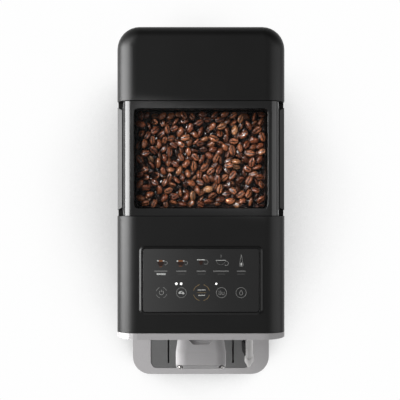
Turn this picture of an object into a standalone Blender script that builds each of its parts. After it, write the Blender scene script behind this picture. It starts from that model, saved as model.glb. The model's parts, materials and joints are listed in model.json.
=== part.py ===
"""A slim bean to cup coffee machine, modelled piece by piece at its real size.

Metres, +Z up. The front faces -Y, +X is the right hand side seen from the front, and the origin is on the
worktop under the middle of the machine. Pieces that meet keep a gap of 0.3 mm.
"""

import math

import bmesh
import bpy
from mathutils import Matrix, Vector

MM = 0.001

# Fits shared by all pieces
GAP = 0.3 * MM  # between pieces that meet
OVERRUN = 2 * MM  # how far a cutter passes the faces that it cuts

# Overall size and the places of the main joints between the covers
WIDTH = 178 * MM
DEPTH = 409 * MM
GRINDER_FOOT = 199.3 * MM  # grinder's underside above the worktop
TRAY_REACH = 78.5 * MM  # drip tray in front of the bezel
CAP_LENGTH = 79.7 * MM  # water tank lid, front to back
BAY_LENGTH = 121.3 * MM  # hopper between the front cover and the tank lid
SHOULDER_DROP = 36.5 * MM  # top of the covers down to the seam round the body
SIDE_RADIUS = 22 * MM  # round edge along each side of the top
REAR_EDGE_RADIUS = 13 * MM  # round edge along the back of the top
CORNER_RADIUS = 24 * MM  # rear corners seen from above
COVER_WALL = 3 * MM
PANEL_WALL = 2.5 * MM

# Control pad on the front cover
PAD_RISE = 1.6 * MM
PAD_WIDTH = 129.2 * MM
PAD_LENGTH = 72.3 * MM
PAD_SETBACK = 19.3 * MM  # from the front edge of the cover
PAD_BEVEL = 1.9 * MM  # width of its sloping edge
PAD_RIM = 3.3 * MM  # beside the glass, with the sloping edge
PAD_END_RIM = 2.5 * MM  # in front of and behind the glass
PAD_CORNER = 5.5 * MM
PAD_POCKET = 2.6 * MM  # depth of the pocket that holds the glass
GLASS_GROOVE = 0.6 * MM  # open groove round the glass
GLASS_THICKNESS = 2 * MM
GLASS_CORNER = 2.5 * MM

# Base and feet
FOOT_HEIGHT = 8 * MM
FOOT_RADIUS = 9 * MM
FOOT_INSET = 22 * MM  # from the side
FOOT_SETBACK = 26 * MM  # from the front and the rear end of the base
BASE_HEIGHT = 32 * MM
BASE_WALL = 3 * MM
BASE_LIP = 6 * MM  # short front wall each side of the tray

# Power inlet and main switch, side by side at the rear of the base
INLET_WIDTH = 28 * MM
INLET_HEIGHT = 21 * MM
INLET_DEPTH = 23 * MM
INLET_WALL = 2 * MM
INLET_OFFSET = 44 * MM
PIN_WIDTH = 2 * MM
PIN_HEIGHT = 4 * MM
PIN_PITCH = 7 * MM
PIN_LENGTH = 15 * MM
SWITCH_WIDTH = 20 * MM
SWITCH_HEIGHT = 13 * MM
SWITCH_DEPTH = 7 * MM
SWITCH_RELIEF = 0.7 * MM  # room for the rocker to swing
SWITCH_TILT = math.radians(8)

# Front bezel and the niche behind it
BEZEL_DEPTH = 6.7 * MM
BEZEL_LEG = 8.5 * MM
BEZEL_SWEEP = 2 * MM  # the front's outer ends lie further back
BEZEL_SWEEP_WIDTH = 27 * MM
FASCIA_HEIGHT = 35.4 * MM
NICHE_DEPTH = 22.5 * MM  # bezel front back to the niche's rear wall
NICHE_CORNER = 12 * MM
NICHE_WALL = 2.5 * MM

# Drip tray, grid, float and grounds drawer
TRAY_TOP = 53 * MM
TRAY_CORNER = 23 * MM
TRAY_INSET = 1 * MM  # tray's side within the body's side
TRAY_WALL = 2.5 * MM
TRAY_INNER_WIDTH = 160 * MM  # the part inside the body
TRAY_INNER_LENGTH = 120 * MM
TRAY_RIM_FRONT = 8 * MM
GRID_WIDTH = 128.5 * MM
GRID_THICKNESS = 4 * MM
GRID_DROP = 0.5 * MM  # grid top below the rim
GRID_CORNER = 8 * MM
GRID_LEDGE = 3 * MM
SLOT_WIDTH = 2.1 * MM
SLOT_SPACING = 20.9 * MM
SLOT_MARGIN = 6 * MM
FLOAT_RADIUS = 9 * MM
FLOAT_DISC = 6 * MM
FLOAT_STEM = 3 * MM
DRAWER_CLEARANCE = 18.7 * MM  # drawer's rim below the brew frame
DRAWER_WIDTH = 144 * MM
DRAWER_LENGTH = 96 * MM
DRAWER_WALL = 2 * MM
DRAWER_LEDGE = 6 * MM
DRAWER_PLATE = 2.5 * MM
DRAWER_REVEAL = 0.5 * MM  # gap round the drawer's front plate
PULL_WIDTH = 46 * MM
PULL_DEPTH = 1.2 * MM
PULL_HEIGHT = 9 * MM

# Coffee spout on its column
COLUMN_WIDTH = 28 * MM
COLUMN_DEPTH = 22 * MM
COLUMN_TOP_DROP = 38 * MM  # niche ceiling down to the column's top
COLUMN_HEIGHT = 112 * MM
SPOUT_WIDTH = 58 * MM
SPOUT_WAIST = 42 * MM  # width where it leaves the niche
SPOUT_DEPTH = 72 * MM
SPOUT_HEIGHT = 80 * MM
SPOUT_DROP = 55 * MM  # spout's rear edge below the niche ceiling
SPOUT_CREASE_DROP = 24 * MM  # below the rear edge
SPOUT_BROW_DROP = 28 * MM
SPOUT_FRONT_DROP = 41 * MM
SPOUT_CREASE_REACH = 51 * MM
SPOUT_BROW_REACH = 66 * MM
SPOUT_EDGE = 12.5 * MM  # width of the shoulders along the top sides
SPOUT_EDGE_DROP = 9 * MM
SPOUT_REAR_EDGE = 16 * MM  # width of the shoulders where they leave the niche
SPOUT_REAR_EDGE_DROP = 12 * MM
SPOUT_CREASE = 0.8 * MM  # width of the soft creases across the top
SPOUT_NOSE = 0.8 * MM  # narrowing down the front facet
POCKET_REACH = 40.7 * MM
POCKET_TAPER = 6 * MM
POCKET_NOSE = 18 * MM
POCKET_DEPTH = 22 * MM  # below the rear edge
NOZZLE_RADIUS = 3.1 * MM
NOZZLE_BORE = 1.9 * MM
NOZZLE_LENGTH = 15 * MM  # below the spout's foot
NOZZLE_RISE = 4 * MM  # its crown above the spout's front edge
NOZZLE_CROWN = 5 * MM  # height of its rounded top
NOZZLE_OFFSET = 24 * MM
NOZZLE_SETBACK = 2.6 * MM  # nozzle axis behind the spout's front
NOZZLE_BLIND = 14 * MM  # solid length below the crown

# Steam wand in its ball joint
WAND_OFFSET = 54 * MM
WAND_SETBACK = 9 * MM  # ball centre in front of the niche's rear wall
WAND_BALL_DROP = 50 * MM  # ball centre below the niche ceiling
WAND_BALL = 9 * MM
WAND_REACH = 73 * MM
WAND_LEAN = 6 * MM
WAND_TIP_LIFT = 55 * MM  # wand's tip above the tray's rim
WAND_TUBE = 4.75 * MM
WAND_NOZZLE_LENGTH = 39 * MM
WAND_NOZZLE_RADIUS = 5.6 * MM
WAND_COLLAR = 2.4 * MM  # length of the nozzle's rounded start
WAND_TIP = 2.6 * MM
WAND_SPIGOT = 14 * MM  # length of tube inside the nozzle
WAND_SPIGOT_RADIUS = 3.6 * MM
SOCKET_RADIUS = 12.5 * MM
SOCKET_TOP = 14 * MM
SOCKET_LIP_ANGLE = math.radians(66)  # from straight down round to the lip
GRIP_LENGTH = 46 * MM
GRIP_WALL = 1.1 * MM
GRIP_WING = 3.8 * MM
GRIP_WING_THICKNESS = 2.6 * MM
GRIP_TURN = math.radians(40)  # the grip's open side, turned away from its wing

# Hopper bay
LID_INSET = 7 * MM  # lid's side within the body's side
LID_SIDE = 11.35 * MM  # lid's frame beside the window
LID_END = 7.65 * MM  # in front of and behind the window
LID_RADIUS = 11 * MM
LID_HEIGHT = 12.3 * MM
WINDOW_CORNER = 5 * MM
WINDOW_THICKNESS = 2 * MM
WINDOW_LAP = 2 * MM
WINDOW_DROP = 1.5 * MM
LID_JOINT = 0.5 * MM  # gap in front of and behind the lid
SEAL_HEIGHT = 3 * MM
SEAL_WIDTH = 2.2 * MM
SEAL_INSET = 1.2 * MM
DECK_STEP = 1.7 * MM  # deck's top beyond the lid's side
DECK_MARGIN = 0.4 * MM  # deck's foot within the body's side
DECK_SHOULDER = 4.1 * MM  # drop of the slope along the deck's top edge
NOTCH_LENGTH = 8.5 * MM
NOTCH_WIDTH = 2.2 * MM
NOTCH_DEPTH = 16 * MM
NOTCH_SIDE_SHARE = 0.55  # of the notch's length that is left at the deck's side
FLANGE_MARGIN = 1 * MM
HOPPER_FLANGE = 2.5 * MM
HOPPER_WALL = 2 * MM
HOPPER_DEPTH = 73.2 * MM
HOPPER_STRAIGHT_SHARE = 0.41
HOPPER_THROAT = 20 * MM
HOPPER_NECK = 10 * MM
BEAN_LEVEL_DROP = 14 * MM  # mean top of the beans below the hopper's rim
BEAN_LENGTH = 10.5 * MM
BEAN_WIDTH = 7.4 * MM
BEAN_RISE = 3.4 * MM
BEAN_CLEARANCE = 0.8 * MM
BEAN_GRID_STEP = 3.0 * MM

# Water tank
TANK_WALL = 2.5 * MM
TANK_VALVE_RADIUS = 7 * MM
TANK_VALVE_FLANGE = 11 * MM
TANK_VALVE_CAP = 4 * MM
SOCKET_BASE_RADIUS = 14 * MM
LID_RIM = 5.6 * MM  # wall of the tank lid, which covers body and tank
BULKHEAD_WALL = 2.5 * MM

# Service door in the right side panel
DOOR_FRONT = 60 * MM  # in front of the middle
DOOR_REAR = 100 * MM
DOOR_LOW_MARGIN = 21.4 * MM
DOOR_TOP_MARGIN = 18.9 * MM
DOOR_CORNER = 10 * MM
DOOR_REVEAL = 0.4 * MM
DOOR_PULL_LENGTH = 34 * MM
DOOR_PULL_HEIGHT = 12 * MM
DOOR_PULL_DEPTH = 1.2 * MM

# Air slots in the left side panel
VENT_COUNT = 7
VENT_LENGTH = 56 * MM
VENT_HEIGHT = 3 * MM
VENT_PITCH = 8 * MM
VENT_LOW = 70 * MM
VENT_MIDDLE = 70 * MM

# Grinder
GRINDER_RADIUS = 34 * MM
GRINDER_WALL = 3 * MM
GRINDER_HEIGHT = 50 * MM
BURR_HEIGHT = 15 * MM
BURR_DROP = 6 * MM  # below the housing's roof
BURR_TOP_BORE = 17 * MM
BURR_LOW_BORE = 25 * MM
CONE_TOP = 8 * MM
CONE_LOW = 22.5 * MM
BURR_SHAFT = 5 * MM
GEAR_MODULE = 1.6 * MM
GEAR_TEETH = 30
PINION_TEETH = 10
GEAR_THICKNESS = 6 * MM
GEAR_DROP = 2 * MM  # below the bracket
BRACKET_THICKNESS = 3 * MM
BRACKET_FRONT = 22 * MM  # in front of the motor's axis
BRACKET_WIDTH = 120 * MM
MOTOR_RADIUS = 21 * MM
MOTOR_HEIGHT = 70 * MM
MOTOR_POST = 3 * MM
MOTOR_POST_SPACING = 34 * MM
MOTOR_POST_SETBACK = 3 * MM
MOTOR_GAP = 12 * MM  # motor top below the gears' underside
PINION_SHAFT = 2.5 * MM
CHUTE_WIDTH = 16 * MM
CHUTE_HEIGHT = 12 * MM
CHUTE_WALL = 2 * MM
CHUTE_DROP = 9 * MM
CHUTE_INLET_LIFT = 9 * MM  # chute's underside above the grinder's foot

# Brew unit, heater and pump
FRAME_WIDTH = 72 * MM
FRAME_WALL = 3 * MM
FRAME_DROP = 30.9 * MM  # frame's top below the shoulder
FRAME_ARM = 4 * MM
FRAME_REACH = 62 * MM
CHAMBER_RADIUS = 27 * MM
CHAMBER_WALL = 3.5 * MM
CHAMBER_FLOOR = 6 * MM
CHAMBER_HEIGHT = 52 * MM
CHAMBER_DROP = 1.3 * MM  # chamber's rim below the chute's end
CHAMBER_LIFT = 28 * MM  # chamber above the frame's foot
PISTON_HEIGHT = 10 * MM
PISTON_DROP = 22 * MM
PISTON_STEM = 7.7 * MM
PISTON_NUT = 12 * MM
PISTON_NUT_HEIGHT = 4 * MM
PISTON_FIT = 0.4 * MM
HEATER_WIDTH = 38 * MM
HEATER_LENGTH = 60 * MM
HEATER_LIFT = 32 * MM  # above the frame's foot
HEATER_DROP = 33 * MM  # below the frame's top
HEATER_SETBACK = 8 * MM
FIN_COUNT = 6
FIN_DEPTH = 5 * MM
FIN_SLOT = 4 * MM
PUMP_RADIUS = 14 * MM
PUMP_LENGTH = 70 * MM
PUMP_OFFSET = 50 * MM
PUMP_FRONT = 30 * MM
PUMP_COIL_SIZE = 34 * MM
PUMP_COIL_LENGTH = 32 * MM
PUMP_PORT = 4 * MM
PUMP_PORT_LENGTH = 7 * MM

# Boards
BOARD_THICKNESS = 1.6 * MM
CONTROL_BOARD_WIDTH = 112 * MM
CONTROL_BOARD_LENGTH = 58 * MM
STANDOFF = 3 * MM
STANDOFF_RADIUS = 2.5 * MM
STANDOFF_INSET = 5 * MM
POWER_BOARD_LENGTH = 80 * MM
POWER_BOARD_HEIGHT = 100 * MM
POWER_BOARD_DROP = 52.8 * MM  # below the hopper's straight walls
POWER_BOARD_FRONT = 30 * MM
RELAY_WIDTH = 18 * MM
RELAY_HEIGHT = 22 * MM
RELAY_DEPTH = 14 * MM
CHIP_SIZE = 14 * MM
CHIP_DEPTH = 3 * MM

# Tubes inside
TUBE_RADIUS = 2.6 * MM
TUBE_BEND = 16 * MM
TUBE_POINT_COUNT = 26

# Proportions
FOOT_TAPER_SHARE = 0.85
INSIDE_EDGE_SHARE = 0.6
CAP_CORNER_X_SHARE = 0.9
CAP_CORNER_Y_SHARE = 0.54
PAD_CORNER_SHARE = 0.8
PAD_ROOT_SHARE = 0.5
PULL_SHARE = 0.7
NOZZLE_TIP_SHARE = 0.8
SADDLE_SHARE = 0.75
BALL_BITE_SHARE = 0.7
NOZZLE_BULGE_SHARE = 0.5
NOZZLE_WAIST_SHARE = 0.9
GRIP_OPENING_SHARE = 0.34
GRIP_PEAK_SHARE = 0.27
GRIP_PLACE_SHARE = 0.6
SWITCH_FACE_SHARE = 0.6
SWITCH_ROOT_SHARE = 0.7
THROAT_SHARE = 0.96
TOOTH_ROOT_SHARE = 0.56  # of the tooth pitch
TOOTH_TIP_SHARE = 0.2
TOOTH_DEEP_SHARE = 1.25  # of the module
TOOTH_HIGH_SHARE = 0.85
BEAN_SHIFT_SHARE = 0.4
BEAN_UNEVEN_SHARE = 0.3
CHUTE_ENTRY_SHARE = 0.7
RELAY_SHARES = (0.25, 0.5, 0.78)
SLOT_PLACES = (-2, -1, 1, 2)
PIN_PLACES = (-1, 0, 1)

# Facets of round shapes
EDGE_COUNT = 8  # segments in a quarter of a large visible round
BEND_COUNT = 4  # segments in a quarter of a small round
DISC_COUNT = 28  # segments in a full circle
ROD_COUNT = 16

# Heights and depths that follow from the sizes above
GRINDER_TOP = GRINDER_FOOT + GRINDER_HEIGHT
HOPPER_BOTTOM = GRINDER_TOP + GAP
HOPPER_RIM_Z = HOPPER_BOTTOM + HOPPER_DEPTH
TOP_Z = HOPPER_RIM_Z + GAP + LID_HEIGHT
HEIGHT = TOP_Z + PAD_RISE
SHOULDER_Z = TOP_Z - SHOULDER_DROP
SEAM_Z = SHOULDER_Z + GAP
REAR_Y = DEPTH / 2
TRAY_FRONT_Y = -DEPTH / 2
BEZEL_FRONT_Y = TRAY_FRONT_Y + TRAY_REACH
BEZEL_BACK_Y = BEZEL_FRONT_Y + BEZEL_DEPTH
BODY_FRONT_Y = BEZEL_BACK_Y + GAP
CAP_FRONT_Y = REAR_Y - CAP_LENGTH
COVER_REAR_Y = CAP_FRONT_Y - BAY_LENGTH
HALF_WIDTH = WIDTH / 2
LID_WIDTH = WIDTH - LID_INSET - LID_INSET
WINDOW_WIDTH = LID_WIDTH - LID_SIDE - LID_SIDE
WINDOW_LENGTH = BAY_LENGTH - LID_JOINT - LID_JOINT - LID_END - LID_END
PANEL_INSIDE = HALF_WIDTH - PANEL_WALL
BASE_BOTTOM_Z = FOOT_HEIGHT + GAP
BASE_TOP_Z = BASE_BOTTOM_Z + BASE_HEIGHT
BASE_FLOOR_Z = BASE_BOTTOM_Z + BASE_WALL
SOCKETS_Z = (BASE_FLOOR_Z + BASE_TOP_Z) / 2
PANEL_LOW_Z = BASE_TOP_Z + GAP
NICHE_Y = BEZEL_FRONT_Y + NICHE_DEPTH
NICHE_BACK_Y = NICHE_Y + NICHE_WALL
NICHE_HALF = HALF_WIDTH - BEZEL_LEG
NICHE_TOP = TOP_Z - FASCIA_HEIGHT
NICHE_LOW = TRAY_TOP + GAP + GAP
CORNER_START_Y = REAR_Y - CORNER_RADIUS
DECK_Z = HOPPER_RIM_Z - HOPPER_FLANGE - GAP
HOPPER_STRAIGHT_Z = HOPPER_RIM_Z - HOPPER_DEPTH * HOPPER_STRAIGHT_SHARE
HOPPER_MIDDLE_Y = (COVER_REAR_Y + CAP_FRONT_Y) / 2
BAY_FLOOR_Z = PANEL_LOW_Z + BULKHEAD_WALL
TANK_MIDDLE_Y = (CAP_FRONT_Y + REAR_Y) / 2
GRINDER_LOW = GRINDER_FOOT
BRACKET_TOP = GRINDER_LOW - GAP
BRACKET_LOW = BRACKET_TOP - BRACKET_THICKNESS
GEAR_TOP = BRACKET_LOW - GEAR_DROP
GEAR_LOW = GEAR_TOP - GEAR_THICKNESS
PINION_Y = HOPPER_MIDDLE_Y - GEAR_MODULE * (GEAR_TEETH + PINION_TEETH) / 2
MOTOR_TOP = GEAR_LOW - MOTOR_GAP
FRAME_FRONT_Y = NICHE_BACK_Y + GAP
CHUTE_LOW = GRINDER_LOW + CHUTE_INLET_LIFT
CHAMBER_LOW = CHUTE_LOW - CHUTE_DROP - CHAMBER_DROP - CHAMBER_HEIGHT
FRAME_LOW = CHAMBER_LOW - CHAMBER_LIFT
FRAME_HIGH = SHOULDER_Z - FRAME_DROP
HEATER_LOW = FRAME_LOW + HEATER_LIFT
HEATER_HEIGHT = FRAME_HIGH - HEATER_DROP - HEATER_LOW
FRAME_BACK_Y = FRAME_FRONT_Y + FRAME_WALL
BREW_Y = FRAME_BACK_Y + GAP + CHAMBER_RADIUS
HEATER_RIGHT = -FRAME_WIDTH / 2 - GAP
HEATER_FRONT_Y = FRAME_BACK_Y + HEATER_SETBACK
TRAY_INSIDE_Y = BEZEL_BACK_Y - GAP
TRAY_REAR_Y = TRAY_INSIDE_Y + TRAY_INNER_LENGTH
TRAY_LOW = BASE_FLOOR_Z + GAP
GRID_TOP = TRAY_TOP - GRID_DROP
GRID_LOW = GRID_TOP - GRID_THICKNESS
GRID_FRONT_Y = TRAY_FRONT_Y + TRAY_RIM_FRONT
GRID_REAR_Y = NICHE_Y - GRID_LEDGE
FLOAT_Y = (GRID_FRONT_Y + GRID_REAR_Y) / 2
DRAWER_FRONT_Y = NICHE_BACK_Y + GAP
DRAWER_LOW = TRAY_TOP + GAP
DRAWER_HEIGHT = FRAME_LOW - DRAWER_CLEARANCE - DRAWER_LOW
SPOUT_BACK_Y = NICHE_Y - GAP
SPOUT_FRONT_Y = SPOUT_BACK_Y - SPOUT_DEPTH
COLUMN_FRONT_Y = SPOUT_BACK_Y - COLUMN_DEPTH
COLUMN_TOP = NICHE_TOP - COLUMN_TOP_DROP
SPOUT_REAR_TOP = NICHE_TOP - SPOUT_DROP
SPOUT_CREASE_TOP = SPOUT_REAR_TOP - SPOUT_CREASE_DROP
SPOUT_BROW_TOP = SPOUT_REAR_TOP - SPOUT_BROW_DROP
SPOUT_FRONT_TOP = SPOUT_REAR_TOP - SPOUT_FRONT_DROP
SPOUT_BOTTOM = SPOUT_REAR_TOP - SPOUT_HEIGHT
POCKET_FLOOR = SPOUT_REAR_TOP - POCKET_DEPTH
WAND_BALL_AT = Vector((WAND_OFFSET, NICHE_Y - WAND_SETBACK, NICHE_TOP - WAND_BALL_DROP))
WAND_LINE = Vector((WAND_LEAN, -WAND_REACH, TRAY_TOP + WAND_TIP_LIFT - WAND_BALL_AT.z))
PAD_FRONT_Y = BODY_FRONT_Y + PAD_SETBACK
PAD_REAR_Y = PAD_FRONT_Y + PAD_LENGTH
PAD_MIDDLE_Y = (PAD_FRONT_Y + PAD_REAR_Y) / 2
PUMP_Z = BASE_FLOOR_Z + GAP + PUMP_COIL_SIZE / 2
PUMP_REAR = PUMP_FRONT + PUMP_LENGTH
DOOR_LOW = PANEL_LOW_Z + DOOR_LOW_MARGIN
DOOR_HIGH = SHOULDER_Z - DOOR_TOP_MARGIN
POWER_BOARD_LOW = HOPPER_STRAIGHT_Z - POWER_BOARD_DROP - POWER_BOARD_HEIGHT


def material(name, colour, roughness, metallic=0.0, alpha=1.0):
    """A plain Principled material of one colour, given as linear red, green and blue."""
    made = bpy.data.materials.new(name)
    made.use_nodes = True
    shader = made.node_tree.nodes["Principled BSDF"]
    shader.inputs["Base Color"].default_value = (*colour, 1.0)
    shader.inputs["Roughness"].default_value = roughness
    shader.inputs["Metallic"].default_value = metallic
    shader.inputs["Alpha"].default_value = alpha
    return made


def materials():
    return {
        "matte_black": material("matte_black", (0.017, 0.018, 0.018), 0.45),
        "gloss_black": material("gloss_black", (0.015, 0.015, 0.016), 0.12),
        "black_glass": material("black_glass", (0.03, 0.03, 0.03), 0.25),
        "silver": material("silver", (0.36, 0.35, 0.35), 0.35, 0.4),
        "grid_grey": material("grid_grey", (0.13, 0.13, 0.13), 0.5),
        "steel": material("steel", (0.6, 0.6, 0.6), 0.2, 1.0),
        "rubber": material("rubber", (0.02, 0.02, 0.02), 0.8),
        "clear": material("clear", (0.9, 0.9, 0.9), 0.05, 0.0, 0.3),
        "smoked": material("smoked", (0.2, 0.2, 0.22), 0.1, 0.0, 0.5),
        "bean": material("bean", (0.12, 0.05, 0.025), 0.4),
        "works_plastic": material("works_plastic", (0.09, 0.09, 0.095), 0.55),
        "aluminium": material("aluminium", (0.6, 0.6, 0.62), 0.4, 1.0),
        "board": material("board", (0.02, 0.12, 0.05), 0.5),
        "tube": material("tube", (0.75, 0.75, 0.72), 0.4),
        "float_red": material("float_red", (0.5, 0.02, 0.02), 0.4),
    }


def arc(cx, cy, rx, ry, start, end, steps):
    """Points on an elliptical arc round (cx, cy) from one angle to another, in quarter turns from +X."""
    angles = [(start + (end - start) * i / steps) * math.pi / 2 for i in range(steps + 1)]
    return [(cx + rx * math.cos(a), cy + ry * math.sin(a)) for a in angles]


def rounded(x0, x1, y0, y1, radii, steps=BEND_COUNT):
    """Outline of a rectangle, anticlockwise from its lower left corner. radii is one radius, or one for
    each corner: lower left, lower right, upper right, upper left. A radius of 0 leaves a sharp corner."""
    radii = radii if isinstance(radii, (tuple, list)) else (radii,) * 4
    corners = ((x0, y0, 1, 1, 2), (x1, y0, -1, 1, 3), (x1, y1, -1, -1, 0), (x0, y1, 1, -1, 1))
    points = []
    for radius, (x, y, sx, sy, start) in zip(radii, corners):
        if radius:
            points += arc(x + sx * radius, y + sy * radius, radius, radius, start, start + 1, steps)
        else:
            points.append((x, y))
    return points


def circle(cx, cy, radius, segments=DISC_COUNT):
    return arc(cx, cy, radius, radius, 0, 4, segments)[:-1]


def arch(half_width, low, high, radius, steps=EDGE_COUNT):
    """Outline of a body seen from the front: upright sides and round upper edges."""
    return rounded(-half_width, half_width, low, high, (0, 0, radius, radius), steps)


def along(axis, point, level):
    """The 3-D point of a 2-D outline point in the plane across an axis."""
    u, v = point
    return {"X": (level, u, v), "Y": (u, level, v), "Z": (u, v, level)}[axis]


def loft(loops):
    """A closed solid through loops of as many points each, with its two ends capped."""
    shape = bmesh.new()
    rings = [[shape.verts.new(point) for point in loop] for loop in loops]
    for low, high in zip(rings, rings[1:]):
        for i in range(len(low)):
            j = (i + 1) % len(low)
            shape.faces.new((low[i], low[j], high[j], high[i]))
    shape.faces.new(rings[0])
    shape.faces.new(rings[-1])
    bmesh.ops.recalc_face_normals(shape, faces=shape.faces)
    return shape


def prism(outline, axis, start, end):
    """A solid with one outline all along an axis."""
    return loft([[along(axis, point, level) for point in outline] for level in (start, end)])


def block(x0, x1, y0, y1, z0, z1):
    return prism(rounded(x0, x1, y0, y1, 0), "Z", z0, z1)


def rod(axis, cu, cv, radius, start, end, segments=DISC_COUNT):
    return prism(circle(cu, cv, radius, segments), axis, start, end)


def turned(profile, cx, cy, segments=DISC_COUNT):
    """A solid of revolution about an upright line. The profile is a closed outline of (radius, height)
    points, where a radius of 0 lies on the line."""
    shape = bmesh.new()
    verts = [shape.verts.new((radius, 0, height)) for radius, height in profile]
    edges = [shape.edges.new((a, b)) for a, b in zip(verts, verts[1:])]
    if profile[0][0] > 0:
        edges.append(shape.edges.new((verts[-1], verts[0])))
    bmesh.ops.spin(
        shape, geom=verts + edges, cent=(0, 0, 0), axis=(0, 0, 1), angle=math.tau,
        steps=segments, use_merge=True, use_duplicate=False,
    )
    bmesh.ops.remove_doubles(shape, verts=shape.verts, dist=GAP / 100)
    bmesh.ops.recalc_face_normals(shape, faces=shape.faces)
    bmesh.ops.translate(shape, verts=shape.verts, vec=(cx, cy, 0))
    return shape


def ball(radius, at, segments=DISC_COUNT):
    shape = bmesh.new()
    bmesh.ops.create_uvsphere(shape, u_segments=segments, v_segments=segments // 2, radius=radius)
    bmesh.ops.translate(shape, verts=shape.verts, vec=at)
    return shape


def thing(name, shape, finish, origin=(0, 0, 0)):
    """An object made from a shape in world space, with its origin where it turns or slides from."""
    mesh = bpy.data.meshes.new(name)
    bmesh.ops.translate(shape, verts=shape.verts, vec=-Vector(origin))
    shape.to_mesh(mesh)
    shape.free()
    made = bpy.data.objects.new(name, mesh)
    made.location = origin
    made.data.materials.append(finish)
    bpy.context.scene.collection.objects.link(made)
    return made


def boolean(target, shape, operation):
    tool = thing("tool", shape, target.data.materials[0])
    modifier = target.modifiers.new(operation.lower(), "BOOLEAN")
    modifier.operation = operation
    modifier.solver = "EXACT"
    modifier.object = tool
    bpy.context.view_layer.update()
    finish = target.data.materials[0]
    name = target.data.name
    made = bpy.data.meshes.new_from_object(target.evaluated_get(bpy.context.evaluated_depsgraph_get()))
    target.modifiers.clear()
    old = target.data
    target.data = made
    bpy.data.meshes.remove(old)
    made.name = name
    made.materials.clear()
    made.materials.append(finish)
    bpy.data.objects.remove(tool)


def cut(target, *shapes):
    for shape in shapes:
        boolean(target, shape, "DIFFERENCE")
    return target


def fuse(target, *shapes):
    for shape in shapes:
        boolean(target, shape, "UNION")
    return target


def shade(made):
    """Smooth rounds with sharp corners."""
    made.data.shade_smooth()
    made.data.set_sharp_from_angle(angle=math.radians(35))


def plan_outline(half_width, front, rear, corner, steps=BEND_COUNT):
    """The body seen from above: square at the front, round at the rear corners."""
    return rounded(-half_width, half_width, front, rear, (0, 0, corner, corner), steps)


def rear_opening(x, width, height):
    """A cutter through the rear wall of the base."""
    low = SOCKETS_Z - height / 2
    return block(
        x - width / 2, x + width / 2, REAR_Y - BASE_WALL - OVERRUN, REAR_Y + OVERRUN, low, low + height
    )


def make_power_sockets(finish):
    x = -INLET_OFFSET
    half = INLET_WIDTH / 2
    low = SOCKETS_Z - INLET_HEIGHT / 2
    high = low + INLET_HEIGHT
    inlet = thing(
        "power_inlet", block(x - half, x + half, REAR_Y - INLET_DEPTH, REAR_Y, low, high),
        finish["works_plastic"]
    )
    floor = REAR_Y - INLET_DEPTH + INLET_WALL
    wall = INLET_WALL
    recess = rounded(x - half + wall, x + half - wall, low + wall, high - wall, (wall, wall, 0, 0))
    cut(inlet, prism(recess, "Y", floor, REAR_Y + OVERRUN))
    for place in PIN_PLACES:
        px = x + place * PIN_PITCH - PIN_WIDTH / 2
        pz = SOCKETS_Z - PIN_HEIGHT / 2 + (0 if place else PIN_HEIGHT / 2)
        fuse(inlet, block(px, px + PIN_WIDTH, floor - wall / 2, floor + PIN_LENGTH, pz, pz + PIN_HEIGHT))

    wide = SWITCH_WIDTH / 2
    face = SWITCH_DEPTH * SWITCH_FACE_SHARE
    crown = face - wide * math.tan(SWITCH_TILT)
    outline = [
        (0, -SWITCH_DEPTH + face), (wide * SWITCH_ROOT_SHARE, 0), (wide, face), (0, crown), (-wide, face),
        (-wide * SWITCH_ROOT_SHARE, 0),
    ]
    low = SOCKETS_Z - SWITCH_HEIGHT / 2
    rocker = prism(outline, "Z", low, low + SWITCH_HEIGHT)
    bmesh.ops.rotate(rocker, verts=rocker.verts, cent=(0, 0, 0), matrix=Matrix.Rotation(SWITCH_TILT, 3, "Z"))
    pivot_y = REAR_Y - GAP - wide * math.sin(SWITCH_TILT) - face
    bmesh.ops.translate(rocker, verts=rocker.verts, vec=(INLET_OFFSET, pivot_y, 0))
    thing("power_switch", rocker, finish["gloss_black"], (INLET_OFFSET, pivot_y, SOCKETS_Z))


def make_base(finish):
    pan = thing(
        "base_pan",
        prism(plan_outline(HALF_WIDTH, BODY_FRONT_Y, REAR_Y, CORNER_RADIUS, EDGE_COUNT), "Z",
            BASE_BOTTOM_Z, BASE_TOP_Z),
        finish["matte_black"],
    )
    inner = plan_outline(
        HALF_WIDTH - BASE_WALL, BODY_FRONT_Y + BASE_WALL, REAR_Y - BASE_WALL, CORNER_RADIUS - BASE_WALL,
        EDGE_COUNT
    )
    mouth = HALF_WIDTH - BASE_LIP
    cut(
        pan,
        prism(inner, "Z", BASE_FLOOR_Z, BASE_TOP_Z + OVERRUN),
        block(
            -mouth, mouth, BODY_FRONT_Y - OVERRUN, BODY_FRONT_Y + BASE_WALL + OVERRUN, BASE_FLOOR_Z,
            BASE_TOP_Z + OVERRUN,
        ),
        rear_opening(-INLET_OFFSET, INLET_WIDTH + GAP + GAP, INLET_HEIGHT + GAP + GAP),
        rear_opening(
            INLET_OFFSET, SWITCH_WIDTH + SWITCH_RELIEF + SWITCH_RELIEF, SWITCH_HEIGHT + SWITCH_RELIEF
        ),
    )
    x = HALF_WIDTH - FOOT_INSET
    front = BODY_FRONT_Y + FOOT_SETBACK
    rear = REAR_Y - FOOT_SETBACK
    for name, fx, fy in (
        ("foot_front_left", -x, front),
        ("foot_front_right", x, front),
        ("foot_rear_left", -x, rear),
        ("foot_rear_right", x, rear),
    ):
        waist = FOOT_RADIUS * FOOT_TAPER_SHARE
        profile = [(0, 0), (waist, 0), (FOOT_RADIUS, FOOT_HEIGHT), (0, FOOT_HEIGHT)]
        thing(name, turned(profile, fx, fy, ROD_COUNT), finish["rubber"])


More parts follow.
